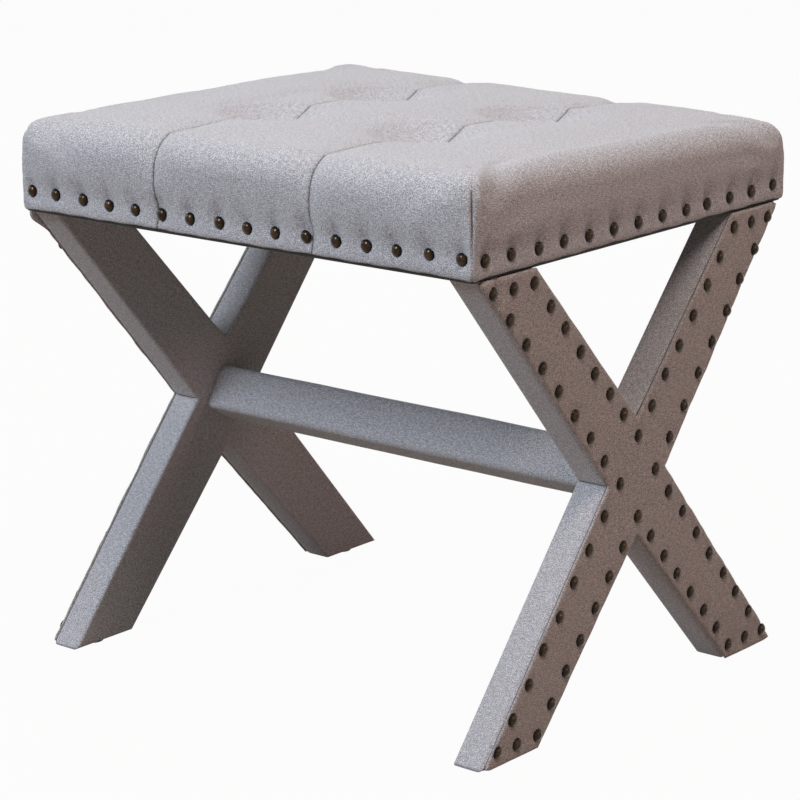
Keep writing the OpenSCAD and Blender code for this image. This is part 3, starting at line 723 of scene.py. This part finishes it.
def inflate(grid, points, held, reach):
    """Blows the cover up against the places that hold it, as its filling does."""
    cap_ring = grid.ids[0]
    centre = len(points)
    closed = np.vstack([points, points[cap_ring].mean(axis=0)])
    fan = list(zip(after(cap_ring), cap_ring, [centre] * grid.round))
    bag = new_piece("filling", closed, list(grid.faces) + fan)
    group = bag.vertex_groups.new(name="held")
    for share in np.unique(held):
        if share > 0:
            group.add(np.nonzero(held == share)[0].tolist(), float(share), "REPLACE")
    group.add([centre], 1.0, "REPLACE")
    cloth = bag.modifiers.new("fill", "CLOTH")
    rules = cloth.settings
    rules.quality = 5
    rules.mass = 0.3
    rules.tension_stiffness = 25
    rules.compression_stiffness = 25
    rules.shear_stiffness = 8
    rules.bending_stiffness = 2
    rules.use_pressure = True
    rules.uniform_pressure_force = 4.0
    rules.vertex_group_mass = "held"
    rules.pin_stiffness = 1.0
    rules.effector_weights.gravity = 0
    cloth.collision_settings.use_collision = False
    cloth.point_cache.frame_start, cloth.point_cache.frame_end = 1, FILL_STEPS
    scene = bpy.context.scene
    for step in range(1, FILL_STEPS + 1):
        scene.frame_set(step)
    blown = bag.evaluated_get(bpy.context.evaluated_depsgraph_get())
    places = read(blown.data.vertices, "co", 3)
    scene.frame_set(1)
    bpy.data.objects.remove(bag)
    moved = places[:-1] / MM - points
    size = np.maximum(np.linalg.norm(moved, axis=1, keepdims=True), 1e-6)
    return moved / size * reach * np.tanh(size / reach)


def fill_seat():
    """A coarse cover blown up by its filling: the grid, and how far each point moved."""
    coarse = SeatGrid(5.5, (30, 20, 12, 5, 0), seat_side(12))
    start = coarse.points()
    flat, rows = coarse.flat()
    top = rows < 0
    start[:, 2] -= np.where(top, tuft_shape(flat, TUFT_DEEP), 0)
    outward = normals_of(start, coarse.faces)
    loose = np.where(top, 1.0, smooth((rows - 7) / 8.0))
    slack = outward * loose[:, None] * CUT_SMALL
    held = np.where(top | (rows > 9), 0.0, 1.0)
    held[top & (np.abs(np.abs(flat[:, 0]) - SEAM_X) < 1)] = 0.35
    held[top & (from_tuft(flat) < TUFT_HELD)] = 0.6
    held[top & (from_tuft(flat) < TUFT_FAST)] = 1.0
    push = inflate(coarse, start - slack, held, FILL_REACH) - slack
    return coarse, eased(coarse, push, outward)


def eased(grid, push, outward):
    """The movement without its even draw at the edges, which the cover is cut to allow for."""
    flat, rows = grid.flat()
    top = rows < 0
    along = (push * outward).sum(axis=1)
    corner = smooth(1 - from_corner(flat) / 40)
    give = np.zeros(len(push))
    for row in range(len(grid.side)):
        here = rows == row
        plain = np.average(along[here], weights=1 - corner[here])
        turned = np.average(along[here], weights=corner[here] ** 2)
        give[here] = plain + (turned - plain) * corner[here]
    inside = (SEAT_HALF - np.abs(flat)).min(axis=1)
    knots = np.array([0.0, 5, 12, 20, 30, 42, 60])
    near = np.exp(-(((inside[top] - knots[:, None]) / 2.4) ** 2)) + 1e-9
    depth = [np.average(along[top], weights=share) for share in near]
    give = np.where(top, np.interp(inside, knots, depth) * (1 - smooth(inside / 60)), give)
    seam = np.exp(-(((np.abs(flat[:, 0]) - SEAM_X) / 13) ** 2))
    give *= 1 - np.where(top | on_side(flat, 1), 0.95, 0) * seam
    return push - outward * give[:, None]


def filled(grid, coarse, push, deeper=0.0):
    """A grid's points on the filled cover, drawn down at the tufts."""
    flat, rows = grid.flat()
    points = grid.points() + carry_over(coarse, push, grid)
    points[:, 2] -= np.where(rows < 0, tuft_shape(flat, TUFT_DEEP + deeper), 0)
    points[:, 2] += lean_of_top(points)
    return points


def seam_valleys(flat, side, live):
    """The two sewn seams over the top and down the front and back: depth and closeness."""
    cross = np.abs(np.abs(flat[:, 0]) - SEAM_X)
    seamed = ~side | on_side(flat, 1)
    valley = 1.5 * np.exp(-((cross / 9) ** 2)) + 1.2 * np.clip(1 - cross / 1.25, 0, 1)
    return np.where(seamed, valley * live, 0), np.where(seamed, 1 - cross / 6, 0)


def corner_seams(corner, height, side):
    """The upright seam at each corner and the tuck that ends it: depth and closeness, with the tuck darkened
    as painted shade.
    """
    fold = 1 - smooth((height - CORNER_SEAM_TOP) / 5)
    seam = fold * (0.35 + 0.65 * smooth((height - CORNER_SEAM_LOW) / 22))
    depth = seam * (1.1 * np.clip(1 - corner / 1.05, 0, 1) - 0.5 * np.exp(-(((corner - 3.2) / 2.0) ** 2)))
    line = (1 - corner / 5) * fold * (0.84 + 0.16 * smooth((height - CORNER_SEAM_LOW) / 26))
    tuck = np.exp(-(((height - CORNER_SEAM_TOP - 3 + 0.15 * corner) / 2.2) ** 2)) * side
    depth += 1.6 * tuck * np.clip(1 - corner / 11, 0, 1)
    # The tuck's closeness paints shade in its fold.
    return depth, np.maximum(line, tuck * np.clip(1.05 - corner / 9, 0, 1))


def nail_pulls(points, flat, rows):
    """How the nails draw the cloth in: depth, and closeness that holds the painted shade and shadow round
    each. The hem rises a little at each.
    """
    height = points[:, 2]
    depth, closeness = np.zeros(len(points)), np.zeros(len(points))
    for name in SEAT_NAILS:
        axis = nail_axis(name)
        rng = random.Random(name + " puckers")
        for place in nail_places(name):
            same = (np.sign(points[:, 1 - axis]) == np.sign(place[1 - axis])) & (rows >= 0)
            same &= on_side(flat, 1 - axis)
            off = points[:, axis] - place[axis]
            up = height - place[2]
            pull = 3.0 * np.exp(-((off / 7.5) ** 2) - (np.where(up > 0, up / 9.5, up / 6.0)) ** 2)
            lean = off - rng.uniform(-0.45, 0.2) * np.clip(up, 0, 40)
            length = rng.uniform(12, 26)
            pucker = np.exp(-((lean / 4.2) ** 2)) * smooth(up / 5) * (1 - smooth((up - 7) / length))
            depth += np.where(same, pull + rng.uniform(1.2, 2.6) * pucker, 0)
            # Painted shadow above and left of each nail, and painted shade along its pucker.
            shadow = np.exp(-(((off + 2.0) / 5.5) ** 2) - ((up - 7.5) / 5.0) ** 2)
            closeness = np.maximum(closeness, np.where(same, 0.8 * np.maximum(shadow, 0.75 * pucker), 0))
            height += np.where(same & (rows <= 6), 0.5 * np.exp(-((off / 8.0) ** 2)), 0)
    return depth, closeness


def detail_cover(grid, points):
    """Seams, corner folds, nail dents and puckers. Returns points and closeness to a seam, which also carries
    painted shade in folds and painted shadows by the nails.
    """
    flat, rows = grid.flat()
    outward = normals_of(points, grid.faces)
    side = rows >= 0
    height = points[:, 2]
    live = smooth((height - HEM_LOW) / 6)
    corner = np.where(side, from_corner(flat), 99)
    marks = [seam_valleys(flat, side, live), corner_seams(corner, height, side)]
    marks.append(nail_pulls(points, flat, rows))
    dent = sum(depth for depth, _ in marks)
    closeness = np.max([near for _, near in marks], axis=0)
    clear = (np.abs(points[:, :2]) - (SEAT_HALF - RAIL_IN)).max(axis=1) - COVER - 0.2
    dent = np.where(side & (height < FOAM_BASE), np.minimum(dent, np.maximum(clear, 0)), dent)
    slow = ripple(points, 85, 3) * 0.35 + ripple(points, 33, 4) * 0.12
    dent -= slow * np.where(side, live, 1.0)
    points = points - outward * dent[:, None]
    dip = 1.7 * smooth(1 - corner / 30) - 0.5 * ripple(points * (1, 1, 0), 90, 5)
    low = side & (rows <= 5)
    points[:, 2] -= np.where(low, np.clip(dip, -0.8, 1.7) * (1 - np.maximum(rows, 0) / 8), 0)
    return points, closeness


def islands(name):
    """The separate solids of a CAD node, as (lowest corner, highest corner) in millimetres."""
    mesh = frame["nodes"][name].data
    places = read(mesh.vertices, "co", 3) / MM
    _, group = np.unique(np.round(places, 3), axis=0, return_inverse=True)
    group = group.ravel()
    root = list(range(group.max() + 1))

    def top(a):
        while root[a] != a:
            root[a] = root[root[a]]
            a = root[a]
        return a

    for edge in mesh.edges:
        a, b = (top(group[v]) for v in edge.vertices)
        if a != b:
            root[b] = a
    owner = np.array([top(g) for g in group])
    return [(places[owner == o].min(axis=0), places[owner == o].max(axis=0)) for o in np.unique(owner)]


def nail_axis(node):
    """The axis that a row of seat nails runs along."""
    return 0 if SEAT_NAILS[node][1] else 1


def nail_places(node):
    """Where the nails of a CAD node sit on the cloth: set by hand, so each a little off."""
    rng = random.Random(node + " rows")
    places = []
    for low, high in islands(node):
        place = (low + high) / 2
        if node in SEAT_NAILS:
            axis = nail_axis(node)
            share = place[axis] / SEAT_HALF[axis]
            place[1 - axis] = math.copysign(SEAT_HALF[1 - axis], place[1 - axis])
            place[axis] += rng.uniform(-1.6, 1.6)
            sag = 2.4 * share ** 2 - 0.6 if axis == 0 else 1.8 * share ** 2 - 2.6
            place[2] += sag + rng.uniform(-0.7, 0.7)
        else:
            place[1:] += [rng.uniform(-0.8, 0.8), rng.uniform(-0.8, 0.8)]
        places.append(place)
    return places


def shell_of(grid, points, thick):
    """Closes a grid into cloth of that thickness: outside, inside and the hem's edge."""
    inside = points - normals_of(points, grid.faces) * thick
    count = len(points)
    ring = grid.ids[0]
    faces = [tuple(f) for f in grid.faces] + [tuple(f[::-1] + count) for f in grid.faces]
    faces += zip(ring, ring + count, after(ring) + count, after(ring))
    return np.vstack([points, inside]), faces


def make_cover(coarse, push, material):
    """The linen cover: its top and its sides are cut as panels, each with its own run of cloth."""
    close = [SEAM_X + d for d in (-9, -5, -2.6, -1.25, 0, 1.25, 2.6, 5, 9)]
    fine = SeatGrid(4.2, CORNER_STEPS, seat_side(5.5), close)
    points, closeness = detail_cover(fine, filled(fine, coarse, push))
    full, faces = shell_of(fine, points, COVER)
    flat, rows = fine.flat()
    turned = on_side(flat[fine.faces].mean(axis=1), 0)
    drop = lengths_along(fine.side[:, :2])
    below = np.where(rows < 0, 0, drop[-1] - drop[np.maximum(rows, 0)] + 3)

    def cloth(places, normals, corners, face_of):
        vertex = corners % len(points)
        face = face_of % len(fine.faces)
        on_top = (face_of < 2 * len(fine.faces)) & (face < fine.top_faces)
        across = turned[face]
        run = np.where(across, flat[vertex, 1], flat[vertex, 0])
        side = np.stack([run, -below[vertex] - np.where(across, 41.0, 7.0)], axis=1)
        return np.where(on_top[:, None], flat[vertex], side) * MM

    cover = new_piece("seat_cover_linen", full, faces, cloth)
    mark_seams_and_shade(cover, np.tile(closeness, 2))
    finish_piece(cover, material)
    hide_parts("seat_cover")


def make_filling(coarse, push, material, foam_material):
    """The wadding under the cover, and the foam block under the wadding."""
    loft = SeatGrid(9, (28, 18, 9, 3, 0), seat_side(15)[5:])
    base = filled(loft, coarse, push, 2.0)
    way = normals_of(base, loft.faces)
    base -= way * WADDING_UNDER
    pad, pad_faces = shell_of(loft, base, WADDING)
    batting = new_piece("seat_wadding", pad, pad_faces, box_cloth)
    finish_piece(batting, material)
    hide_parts("seat_batting")
    make_foam(loft, base - way * FOAM_UNDER, foam_material)


def make_foam(grid, points, material):
    """The foam block: the cover's form further in, cut flat where it sits on the deck."""
    points = points.copy()
    points[:, 2] = np.maximum(points[:, 2], FOAM_BASE)
    limit = SEAT_HALF - FOAM_IN
    points[:, :2] = np.clip(points[:, :2], -limit, limit)
    ring = grid.ids[5]
    keep = [f for f in grid.faces if not set(f) & set(np.concatenate(grid.ids[:5]).tolist())]
    faces = [tuple(f) for f in keep] + [tuple(ring[::-1])]
    used = np.unique(np.concatenate([np.array(f) for f in faces]))
    index = {v: i for i, v in enumerate(used)}
    block = new_piece("seat_foam_block", points[used], [[index[v] for v in f] for f in faces], box_cloth)
    block.data.shade_flat()
    finish_piece(block, material)
    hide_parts("seat_foam")


# The X frames.

def inset_outline(points, by):
    """The outline moved inward, with mitred corners. Its points run counterclockwise."""
    here = np.array(points, float)
    ways = (here - np.roll(here, 1, axis=0), np.roll(here, -1, axis=0) - here)
    first, second = (w[:, ::-1] * (-1, 1) / np.linalg.norm(w, axis=1, keepdims=True) for w in ways)
    return here + (first + second) * by / (1 + (first * second).sum(axis=1, keepdims=True))


class CrossGrid:
    """A grid over the X of a frame: four arms and the crossing, all in quads."""

    def __init__(self, across, along):
        self.across = across
        self.rows = [along] * 4 + [across]
        spots = np.round(self.raw(0.0), 3)
        _, self.first, group = np.unique(spots, axis=0, return_index=True, return_inverse=True)
        self.faces = group.ravel()[self.quads()]
        self.edge = self.border()

    def raw(self, by):
        """The five patches' points, row after row, on the outline moved inward."""
        outline = inset_outline(FRAME_OUTLINE, by)
        t = np.linspace(0, 1, self.across + 1)[None, :, None]
        parts = []
        for corners, rows in zip(PATCHES, self.rows):
            a, b, c, d = outline[list(corners)]
            s = np.linspace(0, 1, rows + 1)[:, None, None]
            low, high = a * (1 - t) + b * t, c * (1 - t) + d * t
            parts.append((low * (1 - s) + high * s).reshape(-1, 2))
        return np.vstack(parts)

    def quads(self):
        """The patches' faces, all turned the same way."""
        flat, wide = self.raw(0.0), self.across + 1
        found, start = [], 0
        for rows in self.rows:
            for face in start + np.array(grid_quads(wide, rows + 1)):
                p = flat[face]
                found.append(face if np.cross(p[2] - p[0], p[3] - p[1]) > 0 else face[::-1])
            start += (rows + 1) * wide
        return np.array(found)

    def border(self):
        """The points round the outline, counterclockwise."""
        following = {}
        sides = set()
        for f in self.faces:
            for k in range(4):
                sides.add((f[k], f[(k + 1) % 4]))
        for a, b in sides:
            if (b, a) not in sides:
                following[a] = b
        here = start = next(iter(following))
        loop = []
        while True:
            loop.append(here)
            here = following[here]
            if here == start:
                return np.array(loop)

    def solid(self, profile):
        """A body from a profile of (x, inset): a face, its turned edge and a second face."""
        sheets, loops = [self.level(*profile[0])], [self.edge]
        total = len(self.first)
        for place in profile[1:-1]:
            sheets.append(self.level(*place)[self.edge])
            loops.append(total + np.arange(len(self.edge)))
            total += len(self.edge)
        sheets.append(self.level(*profile[-1]))
        loops.append(total + self.edge)
        faces = [tuple(f) for f in self.faces]
        for one, two in zip(loops[:-1], loops[1:]):
            faces += zip(one, two, after(two), after(one))
        faces += [tuple(f[::-1] + total) for f in self.faces]
        return np.vstack(sheets), faces

    def level(self, x, by):
        """One sheet of the grid at x, drawn in from the outline."""
        flat = self.raw(by)[self.first]
        return np.column_stack([np.full(len(flat), x), flat + (0, GLIDE)])


def mirrored(points, faces, hand):
    """The left frame is the right one seen in a mirror."""
    if hand == "right":
        return points, faces
    return points * (-1, 1, 1), [tuple(f)[::-1] for f in faces]


def edge_distance(flat):
    """How far each (y, z) place lies inside the frame's outline."""
    best = np.full(len(flat), 1e9)
    outline = np.array(FRAME_OUTLINE, float) + (0, GLIDE)
    for a, b in zip(outline, np.roll(outline, -1, axis=0)):
        way = b - a
        share = np.clip(((flat - a) @ way) / (way @ way), 0, 1)
        best = np.minimum(best, np.linalg.norm(flat - a - share[:, None] * way, axis=1))
    return best


def make_panel(grid, hand, material):
    """The padded cover on the outside of a frame, its edge folded under and its face nailed."""
    points, faces = grid.solid([
        (OUTER, 5.5), (OUTER + 0.1, 3.4), (OUTER - 0.05, 1.9), (OUTER - 0.5, 0.8),
        (OUTER - 1.2, 0.2), (OUTER - 1.9, 0.2), (OUTER - 2.5, 0.8), (PANEL_BACK, 2.4), (PANEL_BACK, 6.0),
    ])
    flat = points[:, 1:]
    rim = 1 - smooth((edge_distance(flat) - 1.0) / 7)
    share = smooth((points[:, 0] - PANEL_BACK) / 2.0)
    seed = 20 if hand == "right" else 40
    wave = ripple(flat, 46, seed) * 0.55 + ripple(flat, 17, seed + 1) * 0.25
    points[:, 0] += share * (wave * 0.45 * rim + ripple(flat, 70, seed + 2) * 0.25)
    points[:, 1] += np.sign(flat[:, 0]) * wave * rim * share * 0.9
    for place in nail_places(hand + "_nails"):
        away = np.linalg.norm(flat - place[1:], axis=1)
        points[:, 0] -= share * 0.9 * np.exp(-((away / 7.5) ** 2))
    for y, z in FRAME_OUTLINE:
        if abs(y) == FRAME_Y:
            away = np.hypot(points[:, 1] - y, points[:, 2] - z - GLIDE)
            blunt = 3.2 * np.exp(-((away / 5.0) ** 2))
            points[:, 1] -= math.copysign(0.8, y) * blunt
            points[:, 2] -= (0.5 if z > WAIST_Z else -0.5) * blunt
    bunch_the_corner(points, share)
    # Painted shade on the cloth folded under at the panel's edge, in the crease against the strip.
    fold_shade = smooth((OUTER - 2.3 - points[:, 0]) / 0.6)
    points, faces = mirrored(points, faces, hand)
    panel = new_piece(hand + "_panel_linen", points, faces, frame_cloth)
    mark_seams_and_shade(panel, fold_shade * 0.95)
    finish_piece(panel, material)
    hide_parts(hand + "_panel")


def bunch_the_corner(points, share):
    """The cloth gathered where it is folded round the frame's front top corner."""
    y, z = FRAME_OUTLINE[0]
    away = np.hypot(points[:, 1] - y - 7, (points[:, 2] - z - GLIDE + 8) * 0.7)
    bunch = share * np.exp(-((away / 8.5) ** 2))
    points[:, 1] -= 4.4 * bunch
    points[:, 0] += 2.0 * bunch - 2.2 * share * np.exp(-(((away - 14) / 3.2) ** 2))


def make_wrap(grid, hand, material):
    """The linen wrapped round the inner face and the edges of a frame."""
    turn = [(0.0, 3.4), (0.12, 2.1), (0.55, 1.0), (1.25, 0.35), (2.3, 0.05)]
    turn += [(x, 0) for x in np.arange(4.5, 24, 3)] + [(25.0, 0.1), (26.4, 0.4), (27.4, 1.2)]
    outer = [(INNER + x, by) for x, by in turn]
    flange = [(PANEL_BACK - 0.4, 1.25), (PANEL_BACK + 0.06, 1.3), (PANEL_BACK + 0.08, 6.0)]
    inner = [(x, WRAP + max(by, 0.4)) for x, by in outer[:3:-1]]
    inner += [(INNER + WRAP, WRAP + 2.4), (INNER + WRAP, WRAP + 3.6)]
    points, faces = grid.solid(outer + flange + inner)
    faces = [tuple(f)[::-1] for f in faces]
    seed = 60 if hand == "right" else 80
    soft = ripple(points, 90, seed) * 0.3 + ripple(points, 30, seed + 1) * 0.12
    shown = np.arange(len(points)) < len(grid.first)
    points[:, 0] += np.where(shown, soft * 0.6, 0)
    points, closeness = crossing_seams(points)
    points, faces = mirrored(points, faces, hand)
    wrap = new_piece(hand + "_wrap_linen", points, faces, frame_cloth)
    mark_seams_and_shade(wrap, closeness)
    finish_piece(wrap, material)
    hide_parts(hand + "_wrap")


def crossing_seams(points):
    """The joints in the strip at the crossing's four notches, where one length laps the next, and painted
    shade in the groove along the panel's edge.
    """
    # Painted shade in the groove where the strip meets the panel.
    groove_shade = smooth((points[:, 0] - PANEL_BACK + 1.6) / 1.0)
    closeness = groove_shade * 0.97
    for y, z in ((-WAIST_Y, WAIST_Z), (WAIST_Y, WAIST_Z), (0, NOTCH_HIGH), (0, NOTCH_LOW)):
        away = points[:, 1:] - (y, z + GLIDE)
        near = np.exp(-((away[:, 0] / 9) ** 2) - (away[:, 1] / 9) ** 2)
        above = np.where(away[:, 1] > 0.4, 0.9, 0) * near
        points[:, 1] += np.sign(y) * above
        points[:, 2] += (1 if z == NOTCH_HIGH else 0) * above
        edge = np.linalg.norm(away, axis=1)
        strip = points[:, 0] > INNER + 2
        closeness = np.maximum(closeness, np.where(strip, 1 - edge / 6, 0))
    return points, closeness


def make_stretcher(material):
    """The linen tube round the square stretcher, with soft edges."""
    low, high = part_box("stretcher_wrap")
    half = (high.x - low.x) / 2 / MM
    centre = np.array([(low.y + high.y) / 2, (low.z + high.z) / 2]) / MM
    side, edge, lean = 20.0, 6.5, math.radians(-32)
    outline = []
    for k in range(4):
        face = math.radians(90 * k)
        out, along = np.array([math.cos(face), math.sin(face)]), np.array([-math.sin(face), math.cos(face)])
        outline += [out * side + along * s for s in np.linspace(-(side - edge), side - edge, 12)]
        corner = out * (side - edge) + along * (side - edge)
        for a in np.linspace(0, 90, 8)[1:-1]:
            b = face + math.radians(a)
            outline.append(corner + edge * np.array([math.cos(b), math.sin(b)]))
    spin = np.array([[math.cos(lean), -math.sin(lean)], [math.sin(lean), math.cos(lean)]])
    outline = np.array(outline) @ spin.T
    stations = np.linspace(-half, half, 110)
    rings = []
    for shape, run in ((outline, stations), (outline * (1 - WRAP / side), stations[::-1])):
        rings += [np.column_stack([np.full(len(shape), x), shape + centre]) for x in run]
    points = np.vstack(rings)
    ids = np.arange(len(points)).reshape(len(rings), -1)
    faces = []
    for one, two in zip(ids, np.roll(ids, -1, axis=0)):
        faces += zip(after(one), after(two), two, one)
    away = points[:, 1:] - centre
    way = away / np.linalg.norm(away, axis=1, keepdims=True)
    end = np.exp(-((half - np.abs(points[:, 0])) / 9))
    soft = ripple(points * (0.5, 1, 1), 60, 91) * 0.3 + end * ripple(points * (0.3, 2, 2), 24, 92) * 0.5
    outer = np.arange(len(points)) < len(points) // 2
    points[:, 1:] += way * np.where(outer, soft, 0)[:, None]
    piece = new_piece("stretcher_linen", points, faces, box_cloth)
    finish_piece(piece, material)
    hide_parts("stretcher_wrap")


# The nails.

def nail_form():
    """One nail along +X: (points, faces). Its head's flat side lies at x = 0."""
    wide, tall, shank = NAIL_WIDE, NAIL_TALL, 10.0
    profile = [(0.35, -shank), (1.0, -shank + 2.2), (1.0, -0.15)]
    profile += [(wide - 1.1, -0.15), (wide - 0.3, -0.1), (wide, 0.12)]
    radius = (wide ** 2 + tall ** 2) / (2 * tall)
    for k in range(1, 9):
        height = 0.12 + (tall - 0.12) * (k / 9) ** 0.82
        reach = math.sqrt(max(radius ** 2 - (height - tall + radius) ** 2, 0.01))
        profile.append((min(reach, wide - 0.02), height))
    n = 22
    turns = [2 * math.pi * k / n for k in range(n)]
    points = [(-shank - 0.9, 0, 0)]
    points += [(height, reach * math.cos(a), reach * math.sin(a)) for reach, height in profile for a in turns]
    points.append((tall, 0, 0))
    ids = 1 + np.arange(len(profile) * n).reshape(-1, n)
    faces = list(zip([0] * n, after(ids[0]), ids[0]))
    for one, two in zip(ids[:-1], ids[1:]):
        faces += zip(one, after(one), after(two), two)
    faces += zip(ids[-1], after(ids[-1]), [len(points) - 1] * n)
    return np.array(points, float), faces


def make_nails(node, way, material):
    """Hand-set nails where the CAD node has them, each a little turned and sunk."""
    form, form_faces = nail_form()
    way = np.array(way, float)
    up = np.array([0.0, 0.0, 1.0])
    side = np.cross(up, way)
    rng = random.Random(node)
    points, faces = [], []
    axis = int(np.abs(way).argmax())
    sunk = 1.0 if node in SEAT_NAILS else 0.2
    tips = [(high if way[axis] > 0 else low)[axis] for low, high in islands(node)]
    for tip, seat in zip(tips, nail_places(node)):
        seat[axis] = tip - way[axis] * (NAIL_TALL + sunk + rng.uniform(0.0, 0.3))
        lean_a, lean_b = rng.gauss(0, 0.045), rng.gauss(0, 0.045)
        out = way + side * lean_a + up * lean_b
        out /= np.linalg.norm(out)
        one = np.cross(up, out)
        one /= np.linalg.norm(one)
        two = np.cross(out, one)
        turn = rng.uniform(0, 6.28)
        spin = one * math.cos(turn) + two * math.sin(turn)
        size = rng.uniform(0.97, 1.02)
        oval = form * (1, size, size / rng.uniform(0.985, 1.015))
        start = len(points) * len(form)
        points.append(seat + oval @ np.array([out, spin, np.cross(out, spin)]))
        faces += [tuple(v + start for v in f) for f in form_faces]
    piece = new_piece(node + "_domed", np.vstack(points), faces)
    rim = np.clip(np.hypot(form[:, 1], form[:, 2]) / NAIL_WIDE, 0, 1)
    mark_seams_and_shade(piece, np.tile(rim, len(points)))
    finish_piece(piece, material)
    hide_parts(node)


def make_dust_cloth(material):
    """The black cloth stapled under the seat, sagging a little, its edge turned up on the rails."""
    low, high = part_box("dust_cover")
    half = np.array([high.x - low.x, high.y - low.y]) / 2 / MM
    nx, ny = 60, 54
    xs, ys = np.linspace(-half[0], half[0], nx), np.linspace(-half[1], half[1], ny)
    flat = np.array([(x, y) for y in ys for x in xs])
    sag = np.clip(1 - (flat / half) ** 2, 0, 1).prod(axis=1)
    sink = 2.2 * sag ** 0.6 - 0.12 * ripple(flat, 60, 7) * sag ** 0.3
    sheet = np.column_stack([flat, low.z / MM - sink])
    quads = grid_quads(nx, ny)
    last = grid_rim(nx, ny)
    edge = sheet[last]
    rings = [sheet]
    for out, up in ((1.0, 0.1), (1.5, 0.9), (1.5, 2.2), (1.5, 3.4)):
        ring = edge + (0, 0, up)
        ring[:, :2] *= 1 + out / half
        new = sum(len(r) for r in rings) + np.arange(len(ring))
        rings.append(ring)
        quads += zip(last, after(last), after(new), new)
        last = new
    lower = np.vstack(rings)
    upper = lower + normals_of(lower, quads) * 0.5
    count = len(lower)
    faces = [q[::-1] for q in quads] + [tuple(v + count for v in q) for q in quads]
    faces += zip(last, after(last), after(last) + count, last + count)
    piece = new_piece("dust_cloth", np.vstack([lower, upper]), faces, box_cloth)
    finish_piece(piece, material)
    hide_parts("dust_cover")


def repaint(material, *nodes):
    """Gives CAD pieces a finish, with their shapes as they are."""
    for name in nodes:
        piece = frame["nodes"][name]
        piece.data.materials.clear()
        piece.data.materials.append(material)


def dress_frame():
    """Finishes for the pieces that are shown as the CAD has them."""
    beech = wood("beech_across", rgb(214, 180, 136), rgb(170, 130, 88), 0)
    repaint(beech, "rail_front", "rail_back", "stretcher_core", "stretcher_dowels")
    repaint(wood("beech_deep", rgb(212, 178, 134), rgb(166, 127, 86), 1), "rail_left", "rail_right")
    beech = wood("beech_upright", rgb(210, 176, 132), rgb(168, 130, 90), 2)
    repaint(beech, "corner_blocks", "left_bar_a", "left_bar_b", "right_bar_a", "right_bar_b")
    repaint(plywood(), "seat_deck")
    steel = metal("zinc_steel", rgb(150, 152, 156), rgb(196, 198, 200))
    repaint(steel, "rail_screws", "deck_screws", "insert_nuts", "dust_staples")
    repaint(steel, "leg_bolts", "stretcher_bolts", "stretcher_washers", "cross_nuts")
    repaint(grained("waxed_twine", rgb(186, 170, 140), rgb(222, 208, 180), 1800.0, 0.6), "tuft_twine")
    repaint(grained("fibre_board", rgb(104, 70, 44), rgb(134, 94, 62), 500.0, 0.6), "tuft_washers")
    nylon = grained("brown_nylon", rgb(52, 44, 40), rgb(64, 55, 50), 900.0, 0.42, 0.2)
    repaint(nylon, "left_glides", "right_glides")


make_camera()
make_lights()
make_floor()
make_world()
cool_linen = linen("heathered_linen", rgb(246, 245, 245), rgb(203, 200, 199), rgb(142, 137, 134))
seat_filling = fill_seat()
make_cover(*seat_filling, cool_linen)
make_filling(*seat_filling, wadding(), foam())
cross_grid = CrossGrid(20, 84)
# The frames' outer panels get a darker, warmer copy of the same linen: painted shade.
shaded_end_linen = linen("heathered_linen_shaded_for_ends", rgb(234, 226, 220), rgb(191, 181, 174), rgb(122, 112, 105))
for hand in ("right", "left"):
    make_panel(cross_grid, hand, shaded_end_linen)
    make_wrap(cross_grid, hand, cool_linen)
make_stretcher(cool_linen)
bronze = antique_bronze()
for row_node, facing in {**SEAT_NAILS, **FRAME_NAILS}.items():
    make_nails(row_node, facing, bronze)
make_dust_cloth(dust_weave())
dress_frame()
bpy.context.scene.view_settings.view_transform = "Standard"
